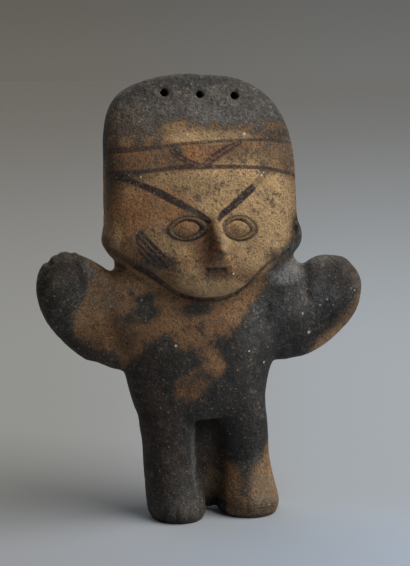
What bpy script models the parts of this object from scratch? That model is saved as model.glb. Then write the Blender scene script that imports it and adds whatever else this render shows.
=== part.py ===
"""A small clay figurine of a standing person, moulded and fired as one piece.

The figure faces -Y with +Z up. It stands on the soles of its two short legs, and the
origin is on the ground under the middle of its outline. Lengths are in metres. A share
is a part of the figure's own height, of a width or of a depth, as its comment says.
"""

import math

import bmesh
import bpy
import numpy as np
from mathutils import Matrix, Vector

# The whole figure
HEIGHT = 0.240
ARM_SPAN = 0.183
TRUNK_WIDTH = 0.100
TRUNK_DEPTH = 0.037

# The head, a flattened block with a thin crest and a rounded jaw in relief
HEAD_WIDTH = 0.1065
HEAD_DEPTH = 0.045
JAW_DROP = 0.030
JAW_ROUNDNESS = 0.66
EAR_SIZE = 0.018
EYE_WIDTH = 0.0192
EYE_HEIGHT = 0.0130
EYE_RELIEF = 0.0011
EYE_SPACING = 0.0304
EYE_SOCKET_SHARE = 0.80
EYEBALL_SHARE = 0.64
EYEBALL_RELIEF = 0.0015
EYE_ROUNDNESS = 2
NOSE_WIDTH = 0.0128
NOSE_LENGTH = 0.024
NOSE_RELIEF = 0.0135
MUZZLE_WIDTH = 0.0440
MUZZLE_HEIGHT = 0.0262
MUZZLE_RELIEF = 0.0036
MUZZLE_ROUNDNESS = 2.5
MOUTH_WIDTH = 0.0103
MOUTH_HEIGHT = 0.0024
MOUTH_DEPTH = 0.0018

# The limbs
ARM_THICKNESS = 0.019
LEG_WIDTH = 0.0290
LEG_DEPTH = 0.0325
LEG_SPACING = 0.0420
FOOT_LENGTH = 0.0390
WEB_THICKNESS = 0.014
WEB_CLEARANCE = 0.006
WEB_BACK = 0.0098

# The three holes in the crest, which take feathers or a tuft of hair
HOLE_DIAMETER = 0.0044
HOLE_SPACING = 0.0193
HOLE_DEPTH = 0.013
HOLE_BELOW_CREST = 0.0116
HOLE_ROW_SHIFT = -0.0030
HOLE_ROW_FALL = 0.0008
HOLE_COUNT = 3

# How deep the slab reaches that cuts the soles flat
GROUND_DEPTH = 0.024

# How the clay is worked: the reach of the smoothing, the fineness of the facets, and
# what the smoothing takes off the thin crest
CLAY_BLEND = 0.0062
CLAY_GRAIN = 0.0016
FACE_GRAIN = 0.0011
FACE_BLEND = 0.00176
FACET_SHARE = 0.054
CREST_ALLOWANCE = 0.0005

# Heights of the landmarks above the ground, as shares of the height
EAR_LEVEL = 0.630
EYE_LEVEL = 0.659
NOSE_TIP_LEVEL = 0.612
MOUTH_LEVEL = 0.567
MUZZLE_RISE = 0.010

CLAY_COLOUR = (0.150, 0.098, 0.060, 1.0)
CLAY_ROUGHNESS = 0.82


def clear_scene():
    """Removes whatever the file holds, so that only the figure is left."""
    for thing in list(bpy.data.objects):
        bpy.data.objects.remove(thing, do_unlink=True)


def mesh_object(name, points, faces):
    """A new mesh object from points and faces, in the scene's collection."""
    mesh = bpy.data.meshes.new(name)
    mesh.from_pydata([tuple(point) for point in points], [], faces)
    mesh.update()
    thing = bpy.data.objects.new(name, mesh)
    bpy.context.scene.collection.objects.link(thing)
    return thing


def outward(thing):
    """Turns every face of a closed mesh to point out."""
    shape = bmesh.new()
    shape.from_mesh(thing.data)
    bmesh.ops.recalc_face_normals(shape, faces=shape.faces)
    shape.to_mesh(thing.data)
    shape.free()
    return thing


def along(stations, level):
    """The row of a list of stations at a level, by a smooth curve through the rows."""
    levels = np.array([row[0] for row in stations])
    values = np.array([row[1:] for row in stations], float)
    slopes = np.gradient(values, levels, axis=0)
    level = float(np.clip(level, levels[0], levels[-1]))
    low = int(np.clip(np.searchsorted(levels, level) - 1, 0, len(levels) - 2))
    step = levels[low + 1] - levels[low]
    t = (level - levels[low]) / step
    return (
        values[low] * (1 - 3 * t**2 + 2 * t**3)
        + values[low + 1] * (3 * t**2 - 2 * t**3)
        + slopes[low] * step * (t - 2 * t**2 + t**3)
        + slopes[low + 1] * step * (t**3 - t**2)
    )


def power(value, exponent):
    """A power that keeps the sign, for the sections' rounded corners."""
    return math.copysign(abs(value) ** exponent, value)


def loft(name, stations, fullness, layers=28, around=36):
    """A closed body from level sections. A station holds level, left, right, front, back."""
    bottom, top = stations[0][0], stations[-1][0]
    points = []
    for layer in range(layers + 1):
        level = bottom + (top - bottom) * layer / layers
        left, right, front, back = along(stations, level)
        for corner in range(around):
            angle = math.tau * corner / around
            sideways = power(math.cos(angle), 2 / fullness)
            forwards = power(math.sin(angle), 2 / fullness)
            x = (left + right) / 2 + sideways * (right - left) / 2
            y = (front + back) / 2 + forwards * (back - front) / 2
            points.append((x, y, level))
    faces = []
    for layer in range(layers):
        for corner in range(around):
            beside = (corner + 1) % around
            here, above = layer * around, (layer + 1) * around
            faces.append((here + corner, here + beside, above + beside, above + corner))
    faces.append(tuple(range(around)))
    faces.append(tuple(layers * around + corner for corner in range(around)))
    return outward(mesh_object(name, points, faces))


def pillow(name, outline, heart, depths, fullness, around=96, rings=16):
    """A cushion-like body filled out from its outline, seen from the front.

    outline(turn) gives the edge's x and z, heart is the middle of that outline, and
    depths(x, z) gives the y of the edge and how far the front and back stand from it.
    """
    edge = [outline(corner / around) for corner in range(around)]
    points, faces = [], []

    def ring(share, side):
        bulge = (1 - share**fullness) ** (1 / fullness)
        start = len(points)
        for x_edge, z_edge in edge:
            x = heart[0] + share * (x_edge - heart[0])
            z = heart[1] + share * (z_edge - heart[1])
            middle, front, back = depths(x, z)
            points.append((x, middle - front * bulge if side < 0 else middle + back * bulge, z))
        return start

    shares = [math.sin(math.pi / 2 * step / rings) ** (2 / fullness) for step in range(1, rings)]
    starts = [ring(share, -1) for share in shares]
    starts.append(ring(1.0, -1))
    starts += [ring(share, 1) for share in reversed(shares)]
    for inner, outer in zip(starts, starts[1:]):
        for corner in range(around):
            beside = (corner + 1) % around
            faces.append((inner + corner, inner + beside, outer + beside, outer + corner))
    faces.append(tuple(starts[0] + corner for corner in range(around)))
    faces.append(tuple(starts[-1] + corner for corner in range(around)))
    return outward(mesh_object(name, points, faces))


def ball(name, centre, radii, tilt=0.0):
    """An ellipsoid, tilted about the front-to-back axis."""
    shape = bmesh.new()
    bmesh.ops.create_icosphere(shape, subdivisions=3, radius=1.0)
    stretch = Matrix.Diagonal((*radii, 1.0))
    place = Matrix.Translation(centre) @ Matrix.Rotation(tilt, 4, "Y") @ stretch
    bmesh.ops.transform(shape, matrix=place, verts=shape.verts)
    mesh = bpy.data.meshes.new(name)
    shape.to_mesh(mesh)
    shape.free()
    thing = bpy.data.objects.new(name, mesh)
    bpy.context.scene.collection.objects.link(thing)
    return thing


def swell(name, place, size, rise, roundness, lean=0.0):
    """An ellipsoid sunk into a surface at a place, so that a low oval swell shows.

    size is the oval's width and height on the surface, rise is how far its middle stands
    out, and a greater roundness sinks a deeper body, which meets the surface more gently.
    """
    depth = roundness * rise
    at_surface = math.sqrt(1 - (1 - 1 / roundness) ** 2)
    radii = (size[0] / 2 / at_surface, depth, size[1] / 2 / at_surface)
    thing = ball(name, (0.0, depth - rise, 0.0), radii)
    thing.data.transform(Matrix.Translation(place) @ Matrix.Rotation(lean, 4, "X"))
    return thing


def block(name, low, high):
    """A box between two corners."""
    corners = [(x, y, z) for x in (low[0], high[0]) for y in (low[1], high[1]) for z in (low[2], high[2])]
    faces = [(0, 1, 3, 2), (4, 6, 7, 5), (0, 4, 5, 1), (2, 3, 7, 6), (0, 2, 6, 4), (1, 5, 7, 3)]
    return outward(mesh_object(name, corners, faces))


# How far the head's middle plane, front and back stand, at shares of the height. The
# head leans back a little, and thins to a crest. Depths are shares of HEAD_DEPTH.
HEAD_STATIONS = [
    (0.490, -0.12, 0.40, 0.34),
    (0.540, -0.10, 0.44, 0.42),
    (0.600, -0.05, 0.46, 0.48),
    (0.660, 0.00, 0.49, 0.51),
    (0.740, 0.02, 0.45, 0.50),
    (0.820, 0.04, 0.38, 0.42),
    (0.900, 0.07, 0.29, 0.29),
    (0.960, 0.09, 0.22, 0.20),
    (1.010, 0.11, 0.18, 0.15),
]
# How full each upper corner is, across and upwards, and each side's share of the width.
CREST_CORNER = {-1: (1.80, 10.0), 1: (1.92, 5.0)}
HEAD_SIDE = {-1: 1.016, 1: 0.960}
HEAD_FULLNESS = 3.5
HEAD_HEART_LEVEL = 0.72
EAR_INSET = 0.30
EAR_RADII = (0.43, 0.55, 0.58)


def head_depths(x, z):
    """The y of the head's edge, and how far its front and back stand from it."""
    middle, front, back = along(HEAD_STATIONS, z / HEIGHT)
    return middle * HEAD_DEPTH, front * HEAD_DEPTH, back * HEAD_DEPTH


def jaw_level(x):
    """The height of the jaw's edge, which hangs like a shallow bowl between the ears."""
    share = min(1.0, abs(x) / (HEAD_WIDTH / 2))
    return EAR_LEVEL * HEIGHT - JAW_DROP * max(0.0, math.cos(math.pi / 2 * share)) ** JAW_ROUNDNESS


def head_outline(turn):
    """The head's edge from the front: straight sides, an uneven crest and the jaw."""
    angle = math.tau * turn
    sideways, upwards = math.cos(angle), math.sin(angle)
    side = -1 if sideways < 0 else 1
    if upwards < 0:
        x = sideways * HEAD_SIDE[side] * HEAD_WIDTH / 2
        return x, jaw_level(x / HEAD_SIDE[side])
    across, rise = CREST_CORNER[side]
    x = power(sideways, 2 / across) * HEAD_SIDE[side] * HEAD_WIDTH / 2
    crest = (1 - EAR_LEVEL) * HEIGHT + CREST_ALLOWANCE
    z = EAR_LEVEL * HEIGHT + abs(upwards) ** (2 / rise) * crest
    return x, z


def make_head():
    """The head block and the two ears at its sides."""
    ear_x = HEAD_WIDTH / 2 - EAR_INSET * EAR_SIZE
    ear_z = EAR_LEVEL * HEIGHT
    ear_y, _, _ = head_depths(ear_x, ear_z)
    radii = [share * EAR_SIZE for share in EAR_RADII]
    ears = [ball(f"ear_{side}", (side * ear_x, ear_y, ear_z), radii) for side in (-1, 1)]
    head = pillow("head", head_outline, (0.0, HEAD_HEART_LEVEL * HEIGHT), head_depths, HEAD_FULLNESS)
    return [head, *ears]


# The trunk from the hips to inside the head: level, left, right, front and back, as
# shares of the height, of half the trunk's width and of its depth.
TRUNK_STATIONS = [
    (0.226, -0.73, 0.68, -0.44, 0.44),
    (0.255, -0.79, 0.70, -0.50, 0.47),
    (0.290, -0.84, 0.71, -0.53, 0.49),
    (0.330, -0.88, 0.75, -0.54, 0.50),
    (0.370, -0.92, 0.82, -0.53, 0.50),
    (0.430, -0.95, 0.88, -0.50, 0.50),
    (0.500, -0.97, 0.95, -0.41, 0.49),
    (0.550, -0.96, 0.99, -0.34, 0.48),
    (0.590, -0.98, 1.00, -0.29, 0.47),
    (0.660, -0.95, 0.97, -0.20, 0.45),
]
TRUNK_FULLNESS = 2.3


def make_trunk():
    """The trunk, which runs up wide into the head with hardly a neck."""
    stations = [
        (
            level * HEIGHT,
            left * TRUNK_WIDTH / 2,
            right * TRUNK_WIDTH / 2,
            front * TRUNK_DEPTH,
            back * TRUNK_DEPTH,
        )
        for level, left, right, front, back in TRUNK_STATIONS
    ]
    return [loft("trunk", stations, TRUNK_FULLNESS)]


# Each arm is a raised paddle. Heights of its middle are shares of the height, and the
# other figures are shares of half the arm span.
ARM_LEVEL = {-1: 0.471, 1: 0.460}
ARM_REACH = {-1: 0.680, 1: 0.672}
ARM_ABOVE = {-1: 0.418, 1: 0.390}
ARM_BELOW = {-1: 0.410, 1: 0.395}
ARM_SHORT = {-1: 0.241, 1: 0.243}
ARM_TAPER = 0.09
ARM_LEAN = {-1: math.radians(39), 1: math.radians(46)}
ARM_FULLNESS = 2.4
HAND_REACH = 0.835
HAND_RISE = 0.028
HAND_TILT = math.radians(14)
SHOULDER_REACH = {-1: 0.37, 1: 0.40}
SHOULDER_RISE = {-1: 0.002, 1: 0.022}

# How far the paddle's front and back stand from its edge, and how far forward of that
# edge the hand and the shoulder are, as shares of the arm's thickness. The radii of the
# two are shares of half the span, of the thickness and of half the span.
PADDLE_DEPTHS = (-0.05, 0.44, 0.50)
HAND_FORWARD = 0.16
HAND_RADII = (0.150, 0.50, 0.225)
SHOULDER_FORWARD = 0.08
SHOULDER_RADII = (0.30, 0.66, 0.31)


def make_arm(side):
    """One arm: a flat paddle, a hand that stands forward of it, and the shoulder."""
    half = ARM_SPAN / 2
    middle_x = side * ARM_REACH[side] * half
    middle_z = ARM_LEVEL[side] * HEIGHT

    def outline(turn):
        angle = math.tau * turn
        length = ARM_ABOVE[side] if math.cos(angle) > 0 else ARM_BELOW[side]
        breadth = ARM_SHORT[side] * (1 + ARM_TAPER * math.cos(angle))
        long, short = length * half * math.cos(angle), breadth * half * math.sin(angle)
        out = long * math.sin(ARM_LEAN[side]) + short * math.cos(ARM_LEAN[side])
        up = long * math.cos(ARM_LEAN[side]) - short * math.sin(ARM_LEAN[side])
        return middle_x + side * out, middle_z + up

    def depths(x, z):
        return [share * ARM_THICKNESS for share in PADDLE_DEPTHS]

    def lump(name, reach, forward, rise, shares, tilt):
        centre = (side * reach * half, -forward * ARM_THICKNESS, middle_z + rise)
        radii = [share * size for share, size in zip(shares, (half, ARM_THICKNESS, half))]
        return ball(f"{name}_{side}", centre, radii, side * tilt)

    shoulder = SHOULDER_REACH[side], SHOULDER_FORWARD, SHOULDER_RISE[side] * HEIGHT
    return [
        pillow(f"paddle_{side}", outline, (middle_x, middle_z), depths, ARM_FULLNESS, around=64),
        lump("hand", HAND_REACH, HAND_FORWARD, HAND_RISE * HEIGHT, HAND_RADII, HAND_TILT),
        lump("shoulder", *shoulder, SHOULDER_RADII, 0.0),
    ]


# A leg: level as a share of the height, its middle from the leg's own axis and half
# its width as shares of the leg's width, and its front and back as shares of its depth.
LEG_STATIONS = [
    (-0.020, -0.02, 0.38, -0.55, 0.22),
    (-0.006, -0.02, 0.52, -0.70, 0.32),
    (0.012, -0.02, 0.60, -0.78, 0.38),
    (0.035, -0.02, 0.61, -0.76, 0.40),
    (0.065, -0.02, 0.56, -0.66, 0.42),
    (0.105, -0.01, 0.51, -0.54, 0.44),
    (0.165, -0.01, 0.50, -0.50, 0.46),
    (0.215, -0.03, 0.54, -0.53, 0.48),
    (0.270, -0.08, 0.51, -0.53, 0.47),
    (0.340, -0.15, 0.34, -0.42, 0.38),
]
LEG_FULLNESS = 2.15

# The legs aren't quite even: how far each stands from its even place along X, its foot
# and its hip again, and how wide its foot is beside the leg stations.
LEG_OFFSET = {-1: 0.0015, 1: 0.0020}
FOOT_OFFSET = {-1: 0.0017, 1: 0.0010}
HIP_OFFSET = -0.0022
FOOT_SWELL = {-1: 0.895, 1: 0.985}

# The levels between which the foot gives way to the leg, and the leg to the hip
FOOT_LEVELS = (0.028, 0.098)
HIP_LEVELS = (0.14, 0.22)


def make_leg(side):
    """One short leg, ending in a rounded stump of a foot that stands forward."""
    axis = side * LEG_SPACING / 2 + LEG_OFFSET[side]
    levels = [station[0] for station in LEG_STATIONS]
    feet = np.interp(levels, FOOT_LEVELS, (1.0, 0.0))
    hips = np.interp(levels, HIP_LEVELS, (0.0, 1.0))
    longest = max(back - front for _, _, _, front, back in LEG_STATIONS)
    stations = []
    for (level, drift, half, front, back), in_foot, in_hip in zip(LEG_STATIONS, feet, hips):
        middle = axis + side * drift * LEG_WIDTH
        middle += in_foot * FOOT_OFFSET[side] + in_hip * HIP_OFFSET
        half *= 1 + in_foot * (FOOT_SWELL[side] - 1)
        depth = LEG_DEPTH + in_foot * (FOOT_LENGTH / longest - LEG_DEPTH)
        stations.append(
            (
                level * HEIGHT,
                middle - half * LEG_WIDTH,
                middle + half * LEG_WIDTH,
                front * depth,
                back * depth,
            )
        )
    return [loft(f"leg_{side}", stations, LEG_FULLNESS)]


def make_web():
    """The clay left between the legs, set back from their fronts and open at the ground."""
    reach = LEG_SPACING / 2
    low = (-reach, WEB_BACK - WEB_THICKNESS, WEB_CLEARANCE)
    high = (reach, WEB_BACK, TRUNK_STATIONS[2][0] * HEIGHT)
    return [block("web", low, high)]


def front_of_head(x, z):
    """The y of the head's front at a place on the face, before its relief."""
    middle, front, _ = head_depths(x, z)
    across = min(1.0, abs(x) / (HEAD_WIDTH / 2))
    return middle - front * (1 - across**HEAD_FULLNESS) ** (1 / HEAD_FULLNESS)


# The nose from below its tip to its root: level from the tip as a share of its length,
# half its width and how far it stands out, as shares of its width and relief.
NOSE_STATIONS = [
    (-0.13, 0.44, 0.16),
    (-0.06, 0.54, 0.74),
    (0.01, 0.54, 1.04),
    (0.18, 0.45, 0.84),
    (0.45, 0.35, 0.50),
    (0.68, 0.31, 0.20),
    (0.90, 0.28, -0.05),
]
NOSE_FULLNESS = 1.7


def make_nose():
    """The nose, a wedge that stands out most at its tip."""
    stations = []
    for rise, half, relief in NOSE_STATIONS:
        level = NOSE_TIP_LEVEL * HEIGHT + rise * NOSE_LENGTH
        skin = front_of_head(0.0, level)
        width = half * NOSE_WIDTH
        front = skin - relief * NOSE_RELIEF
        stations.append((level, -width, width, front, skin + NOSE_RELIEF / 2))
    return [loft("nose", stations, NOSE_FULLNESS, layers=18, around=20)]


def add_eye(thing, side):
    """One eye on the face: a low oval lid, a sunken ring inside it and the eyeball."""
    x, z = side * EYE_SPACING / 2, EYE_LEVEL * HEIGHT
    skin = skin_at(thing, x, z)
    above, below = z + EYE_HEIGHT / 2, z - EYE_HEIGHT / 2
    lean = math.atan2(front_of_head(x, below) - front_of_head(x, above), EYE_HEIGHT)

    def oval(name, share, rise, forward=0.0):
        size = (share * EYE_WIDTH, share * EYE_HEIGHT)
        place = (x, skin - forward, z)
        return cutter(swell(f"{name}_{side}", place, size, rise, EYE_ROUNDNESS, lean))

    combine(thing, oval("eyelid", 1.0, EYE_RELIEF), "UNION")
    socket = oval("socket", EYE_SOCKET_SHARE, EYE_RELIEF, (2 * EYE_ROUNDNESS - 2) * EYE_RELIEF)
    combine(thing, socket, "DIFFERENCE")
    combine(thing, oval("eyeball", EYEBALL_SHARE, EYEBALL_RELIEF), "UNION")


def make_muzzle():
    """The swell of the lower face from under the nose to the chin."""
    middle = (MOUTH_LEVEL + MUZZLE_RISE) * HEIGHT
    skin = front_of_head(0.0, MOUTH_LEVEL * HEIGHT)
    size = (MUZZLE_WIDTH, MUZZLE_HEIGHT)
    return [swell("muzzle", (0.0, skin, middle), size, MUZZLE_RELIEF, MUZZLE_ROUNDNESS)]


def joined(name, things):
    """One object that holds the meshes of several, which are removed."""
    shape = bmesh.new()
    for thing in things:
        shape.from_mesh(thing.data)
    mesh = bpy.data.meshes.new(name)
    shape.to_mesh(mesh)
    shape.free()
    for thing in things:
        bpy.data.objects.remove(thing, do_unlink=True)
    body = bpy.data.objects.new(name, mesh)
    bpy.context.scene.collection.objects.link(body)
    return body


def evaluated(thing):
    """The mesh of an object with its modifiers worked out."""
    graph = bpy.context.evaluated_depsgraph_get()
    return bpy.data.meshes.new_from_object(thing.evaluated_get(graph))


def knead(thing, grain, blend):
    """Merges overlapping bodies into one skin of clay and smooths where they meet."""
    skin = thing.modifiers.new("skin", "REMESH")
    skin.mode = "VOXEL"
    skin.voxel_size = grain
    smooth = thing.modifiers.new("smooth", "SMOOTH")
    smooth.factor = 0.5
    smooth.iterations = max(1, round((blend / grain) ** 2))
    thing.data = evaluated(thing)
    thing.modifiers.clear()
    return thing


def cutter(thing):
    """Marks an object as a cutter, which isn't part of the figure."""
    thing.hide_render = True
    thing.display_type = "WIRE"
    return thing


def ground_cutter():
    """A slab under the ground that leaves the two soles flat."""
    side = 2 * ARM_SPAN
    return cutter(block("ground_cutter", (-side, -side, -GROUND_DEPTH), (side, side, 0.0)))


def hole_cutter(index):
    """One of the holes in a row across the crest, drilled straight back."""
    place_in_row = index - (HOLE_COUNT - 1) / 2
    x = HOLE_ROW_SHIFT + place_in_row * HOLE_SPACING
    z = HEIGHT - HOLE_BELOW_CREST - place_in_row * HOLE_ROW_FALL
    skin = front_of_head(0.0, z)
    shape = bmesh.new()
    bmesh.ops.create_cone(
        shape,
        cap_ends=True,
        segments=12,
        radius1=HOLE_DIAMETER / 2,
        radius2=HOLE_DIAMETER / 2,
        depth=2 * HOLE_DEPTH,
    )
    place = Matrix.Translation((x, skin, z)) @ Matrix.Rotation(math.pi / 2, 4, "X")
    bmesh.ops.transform(shape, matrix=place, verts=shape.verts)
    mesh = bpy.data.meshes.new(f"hole_cutter_{index + 1}")
    shape.to_mesh(mesh)
    shape.free()
    drill = bpy.data.objects.new(mesh.name, mesh)
    bpy.context.scene.collection.objects.link(drill)
    return cutter(drill)


def mouth_cutter(thing):
    """The mouth, a short level slit pressed into the muzzle."""
    z = MOUTH_LEVEL * HEIGHT
    centre = (0.0, skin_at(thing, 0.0, z), z)
    return cutter(ball("mouth_cutter", centre, (MOUTH_WIDTH / 2, MOUTH_DEPTH, MOUTH_HEIGHT / 2)))


def skin_at(thing, x, z):
    """The y of an object's front, straight ahead of a place on it."""
    bpy.context.view_layer.update()
    _, place, _, _ = thing.ray_cast(Vector((x, -HEIGHT, z)), Vector((0.0, 1.0, 0.0)))
    return place.y


def combine(thing, tool, operation):
    """Adds another closed body to an object, or takes its volume out of it."""
    boolean = thing.modifiers.new(tool.name, "BOOLEAN")
    boolean.operation = operation
    boolean.solver = "EXACT"
    boolean.object = tool
    thing.data = evaluated(thing)
    thing.modifiers.clear()


def facet(thing, share):
    """Leaves that share of the faces, most of them where the form turns."""
    fewer = thing.modifiers.new("facets", "DECIMATE")
    fewer.ratio = share
    thing.data = evaluated(thing)
    thing.modifiers.clear()


def clay():
    """The fired clay's plain material."""
    material = bpy.data.materials.new("fired_clay")
    material.use_nodes = True
    surface = material.node_tree.nodes["Principled BSDF"]
    surface.inputs["Base Color"].default_value = CLAY_COLOUR
    surface.inputs["Roughness"].default_value = CLAY_ROUGHNESS
    surface.inputs["Metallic"].default_value = 0.0
    return material


def centre_on_ground(thing):
    """Moves the mesh so that the origin is under the middle of its outline."""
    low = Vector([min(vertex.co[axis] for vertex in thing.data.vertices) for axis in range(3)])
    high = Vector([max(vertex.co[axis] for vertex in thing.data.vertices) for axis in range(3)])
    middle = (low + high) / 2
    thing.data.transform(Matrix.Translation((-middle.x, -middle.y, -low.z)))


def main():
    clear_scene()
    masses = make_head() + make_muzzle() + make_trunk() + make_web()
    for side in (-1, 1):
        masses += make_arm(side) + make_leg(side)
    figure = knead(joined("statuette", masses), CLAY_GRAIN, CLAY_BLEND)
    figure = knead(joined("statuette", [figure, *make_nose()]), FACE_GRAIN, FACE_BLEND)
    figure.name = "statuette"
    facet(figure, FACET_SHARE)
    for side in (-1, 1):
        add_eye(figure, side)
    for tool in [ground_cutter(), mouth_cutter(figure), *map(hole_cutter, range(HOLE_COUNT))]:
        combine(figure, tool, "DIFFERENCE")
    centre_on_ground(figure)
    figure.data.shade_smooth()
    figure.data.materials.clear()
    figure.data.materials.append(clay())


main()
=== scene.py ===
"""A hand-moulded figure of fired clay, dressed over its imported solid: the modelled relief, the fire-clouded
clay with its brushed lines, and the pale floor, soft light and camera that it is seen with."""

import math

import bpy
import numpy as np
from bpy.props import FloatProperty, FloatVectorProperty, IntProperty, PointerProperty
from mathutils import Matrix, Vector


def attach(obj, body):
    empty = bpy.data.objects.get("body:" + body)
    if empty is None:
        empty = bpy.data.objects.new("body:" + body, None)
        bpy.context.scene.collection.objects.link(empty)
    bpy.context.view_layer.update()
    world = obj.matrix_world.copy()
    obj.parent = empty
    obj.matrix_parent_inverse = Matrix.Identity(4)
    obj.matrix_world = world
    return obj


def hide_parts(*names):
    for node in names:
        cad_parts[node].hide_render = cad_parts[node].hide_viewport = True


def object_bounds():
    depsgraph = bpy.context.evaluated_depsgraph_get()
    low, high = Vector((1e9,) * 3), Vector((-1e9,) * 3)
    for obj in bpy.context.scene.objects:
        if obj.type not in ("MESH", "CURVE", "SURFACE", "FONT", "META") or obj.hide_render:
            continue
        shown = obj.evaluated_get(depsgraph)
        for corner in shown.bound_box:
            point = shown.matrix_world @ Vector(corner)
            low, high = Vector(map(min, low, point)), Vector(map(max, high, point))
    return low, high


bl_info = {
    "name": "Fired clay statuette",
    "version": (1, 0, 0),
    "blender": (4, 5, 0),
    "location": "View3D > Sidebar > Statuette",
    "description": "Models a fire-clouded clay figure over its packed solid and stands it on a pale floor",
    "category": "Object",
}

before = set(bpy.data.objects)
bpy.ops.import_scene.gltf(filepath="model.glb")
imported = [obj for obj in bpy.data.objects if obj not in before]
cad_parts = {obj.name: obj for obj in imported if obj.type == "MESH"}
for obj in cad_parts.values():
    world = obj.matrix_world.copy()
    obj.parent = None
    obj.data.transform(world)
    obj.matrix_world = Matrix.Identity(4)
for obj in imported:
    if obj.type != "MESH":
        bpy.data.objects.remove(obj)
CAD_LOW, CAD_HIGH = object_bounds()

NODE = "statuette"
MILLI = 0.001
VIEW_SPREAD = 3.6  # turns a sideways share of the view into a share of its width
FAR_OFF = 1e3  # farther than any gap on the figure, in millimetres

# A pair of numbers that is called an edge is where something starts and where it is there in full. These are
# the edges of the front's relief and of the back's tones, in millimetres behind the sides' middle
RELIEF_EDGE = (10.0, -2.0)
BACK_EDGE = (1.0, 13.0)
SIDE_EDGE = (0.05, -0.35)  # the relief's edge round the sides, as the y of the way that the surface faces

# Brushed lines on the front, and lines of painted shade drawn the same way, each as steps of (x, z, half
# width) in millimetres
BAND_TOP = ((-58, 198.6, 1.4), (-52.6, 199.2, 1.4), (-45.3, 199.9, 1.5), (-37.2, 200.4, 1.3),
            (-27.2, 201.3, .9), (-17.4, 202.5, .7), (-11.4, 203.2, .7), (-2.6, 203.6, .8), (6.8, 204.0, .8),
            (17.4, 204.4, .7), (28.2, 204.5, .8), (37.0, 204.1, .9), (45.4, 202.8, .8), (54, 200.5, .8))
BAND_LOW = ((-58, 186.6, 1.1), (-52.9, 187.2, 1.1), (-45.1, 188.0, 1.2), (-34.3, 189.1, 1.0),
            (-26.9, 189.8, .9), (-18.3, 190.8, 1.0), (-7.4, 190.6, 1.0), (5.2, 190.7, 1.0),
            (16.2, 190.5, .9), (28.1, 189.8, .9), (36.6, 188.3, .9), (45.9, 186.0, .9), (54, 183.0, .8))
VEE_LEFT = ((-21.5, 199.4, .9), (-16.9, 195.9, 1.5), (-11.6, 193.1, 1.5), (-5.6, 190.9, 1.3))
VEE_RIGHT = ((-4.9, 190.9, 1.4), (1.0, 195.0, 1.9), (8.0, 199.5, 1.9), (16.7, 203.2, 1.0))
BROW_LEFT = ((-51.8, 186.6, 1.5), (-46.0, 184.9, 1.3), (-38.6, 181.9, 1.4), (-32.6, 179.6, 1.8),
             (-26.0, 176.1, 2.1), (-18.2, 171.8, 1.9), (-12.9, 169.1, 1.4), (-7.5, 166.4, 1.5),
             (-3.4, 162.9, 1.5))
BROW_RIGHT = ((23.2, 180.5, 1.4), (20.6, 178.4, 2.0), (14.7, 173.6, 1.9), (9.0, 169.1, 1.7),
              (4.6, 165.9, 1.6), (2.3, 163.6, 1.2))
JAW_LINE = ((-55.5, 154.5, .5), (-54.8, 150.5, 1.0), (-53.6, 147.9, 1.4), (-50.3, 145.6, 1.3),
            (-45.8, 142.6, 1.3), (-40.8, 139.0, 1.4), (-35.7, 136.3, 1.6), (-30.9, 132.9, 1.5),
            (-25.7, 128.9, 1.3), (-21.2, 125.4, 1.2), (-15.7, 122.4, 1.0), (-8.8, 120.6, .9),
            (-1.8, 119.9, 1.2), (6.1, 120.1, 1.3), (14.2, 122.3, 1.1), (19.2, 126.6, 1.3),
            (22.2, 131.0, 1.0), (27.3, 135.3, .8), (32.2, 138.4, 1.1), (38.3, 141.9, .8),
            (45.1, 145.0, 1.0))
CHEEK_STROKES = (((-41.2, 152.8, .4), (-41.4, 155.6, .5), (-39.7, 157.8, .5), (-38.0, 157.6, .4),
                  (-38.8, 156.8, .6), (-34.6, 152.4, .8), (-30.3, 147.6, .9), (-27.2, 144.3, .8)),
                 ((-40.2, 154.6, .5), (-36.1, 150.3, .7), (-31.8, 145.5, .9), (-28.7, 141.7, .9)),
                 ((-40.9, 151.7, .5), (-37.0, 147.6, .7), (-33.3, 143.3, .9), (-30.6, 140.1, .9)),
                 ((-41.1, 149.1, .4), (-38.0, 145.4, .6), (-34.8, 141.7, .7)),
                 ((-34.4, 144.9, .9), (-29.2, 141.5, 1.6), (-25.9, 138.7, .8)))
CHEEK_DASHES = (((-26.2, 146.4, .3), (-21.6, 145.9, .25)), ((-25.6, 144.3, .3), (-20.3, 143.3, .25)),
                ((-25.2, 142.2, .3), (-20.9, 140.8, .25)), ((-24.8, 148.2, .25), (-22.2, 148.0, .2)))
CHEEK_STRIPES = (((-26.1, 137.9, .5), (-20.4, 136.5, .45), (-14.3, 134.4, .3)),
                 ((-25.1, 135.3, .35), (-19.3, 133.3, .3)))
BROW_TRACE = ((23.2, 180.5, 1.5), (26.7, 184.5, 1.7), (30.3, 187.5, 1.8))
MOUTH_LINE = ((-4.8, 137.0, 1.1), (-0.7, 137.2, 1.5), (4.6, 136.9, 1.0))
MOUTH_SMEAR = ((-5.2, 138.2, .6), (-5.3, 134.5, 1.1), (-4.6, 130.8, .3))
LOWER_LIP = ((-2.6, 134.0, .5), (3.8, 133.8, .6))
# The nose's side: painted shade down the nose's left side, the side away from the light
NOSE_SIDE = ((-3.0, 161.0, .7), (-3.6, 157.0, 1.2), (-4.4, 152.9, 1.4), (-5.4, 147.9, 1.6),
             (-3.5, 144.2, 1.2))
EYE_CORNERS = (((-7.4, 162.2, .5), (-6.1, 159.4, 1.0), (-7.6, 156.2, .5)),
               ((6.0, 162.2, .6), (5.2, 158.8, 1.1), (6.8, 155.2, .5)),
               ((-24.4, 161.0, .5), (-24.6, 157.5, .9), (-21.6, 154.4, .7)))
# The nostril's line: painted shade in the crease under the nostril's wing
NOSTRIL = ((0.4, 146.2, .3), (5.9, 145.1, .4), (8.5, 145.4, .3))
VEE_CORE = 0.30  # the reddish core's share of the V's width
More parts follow.
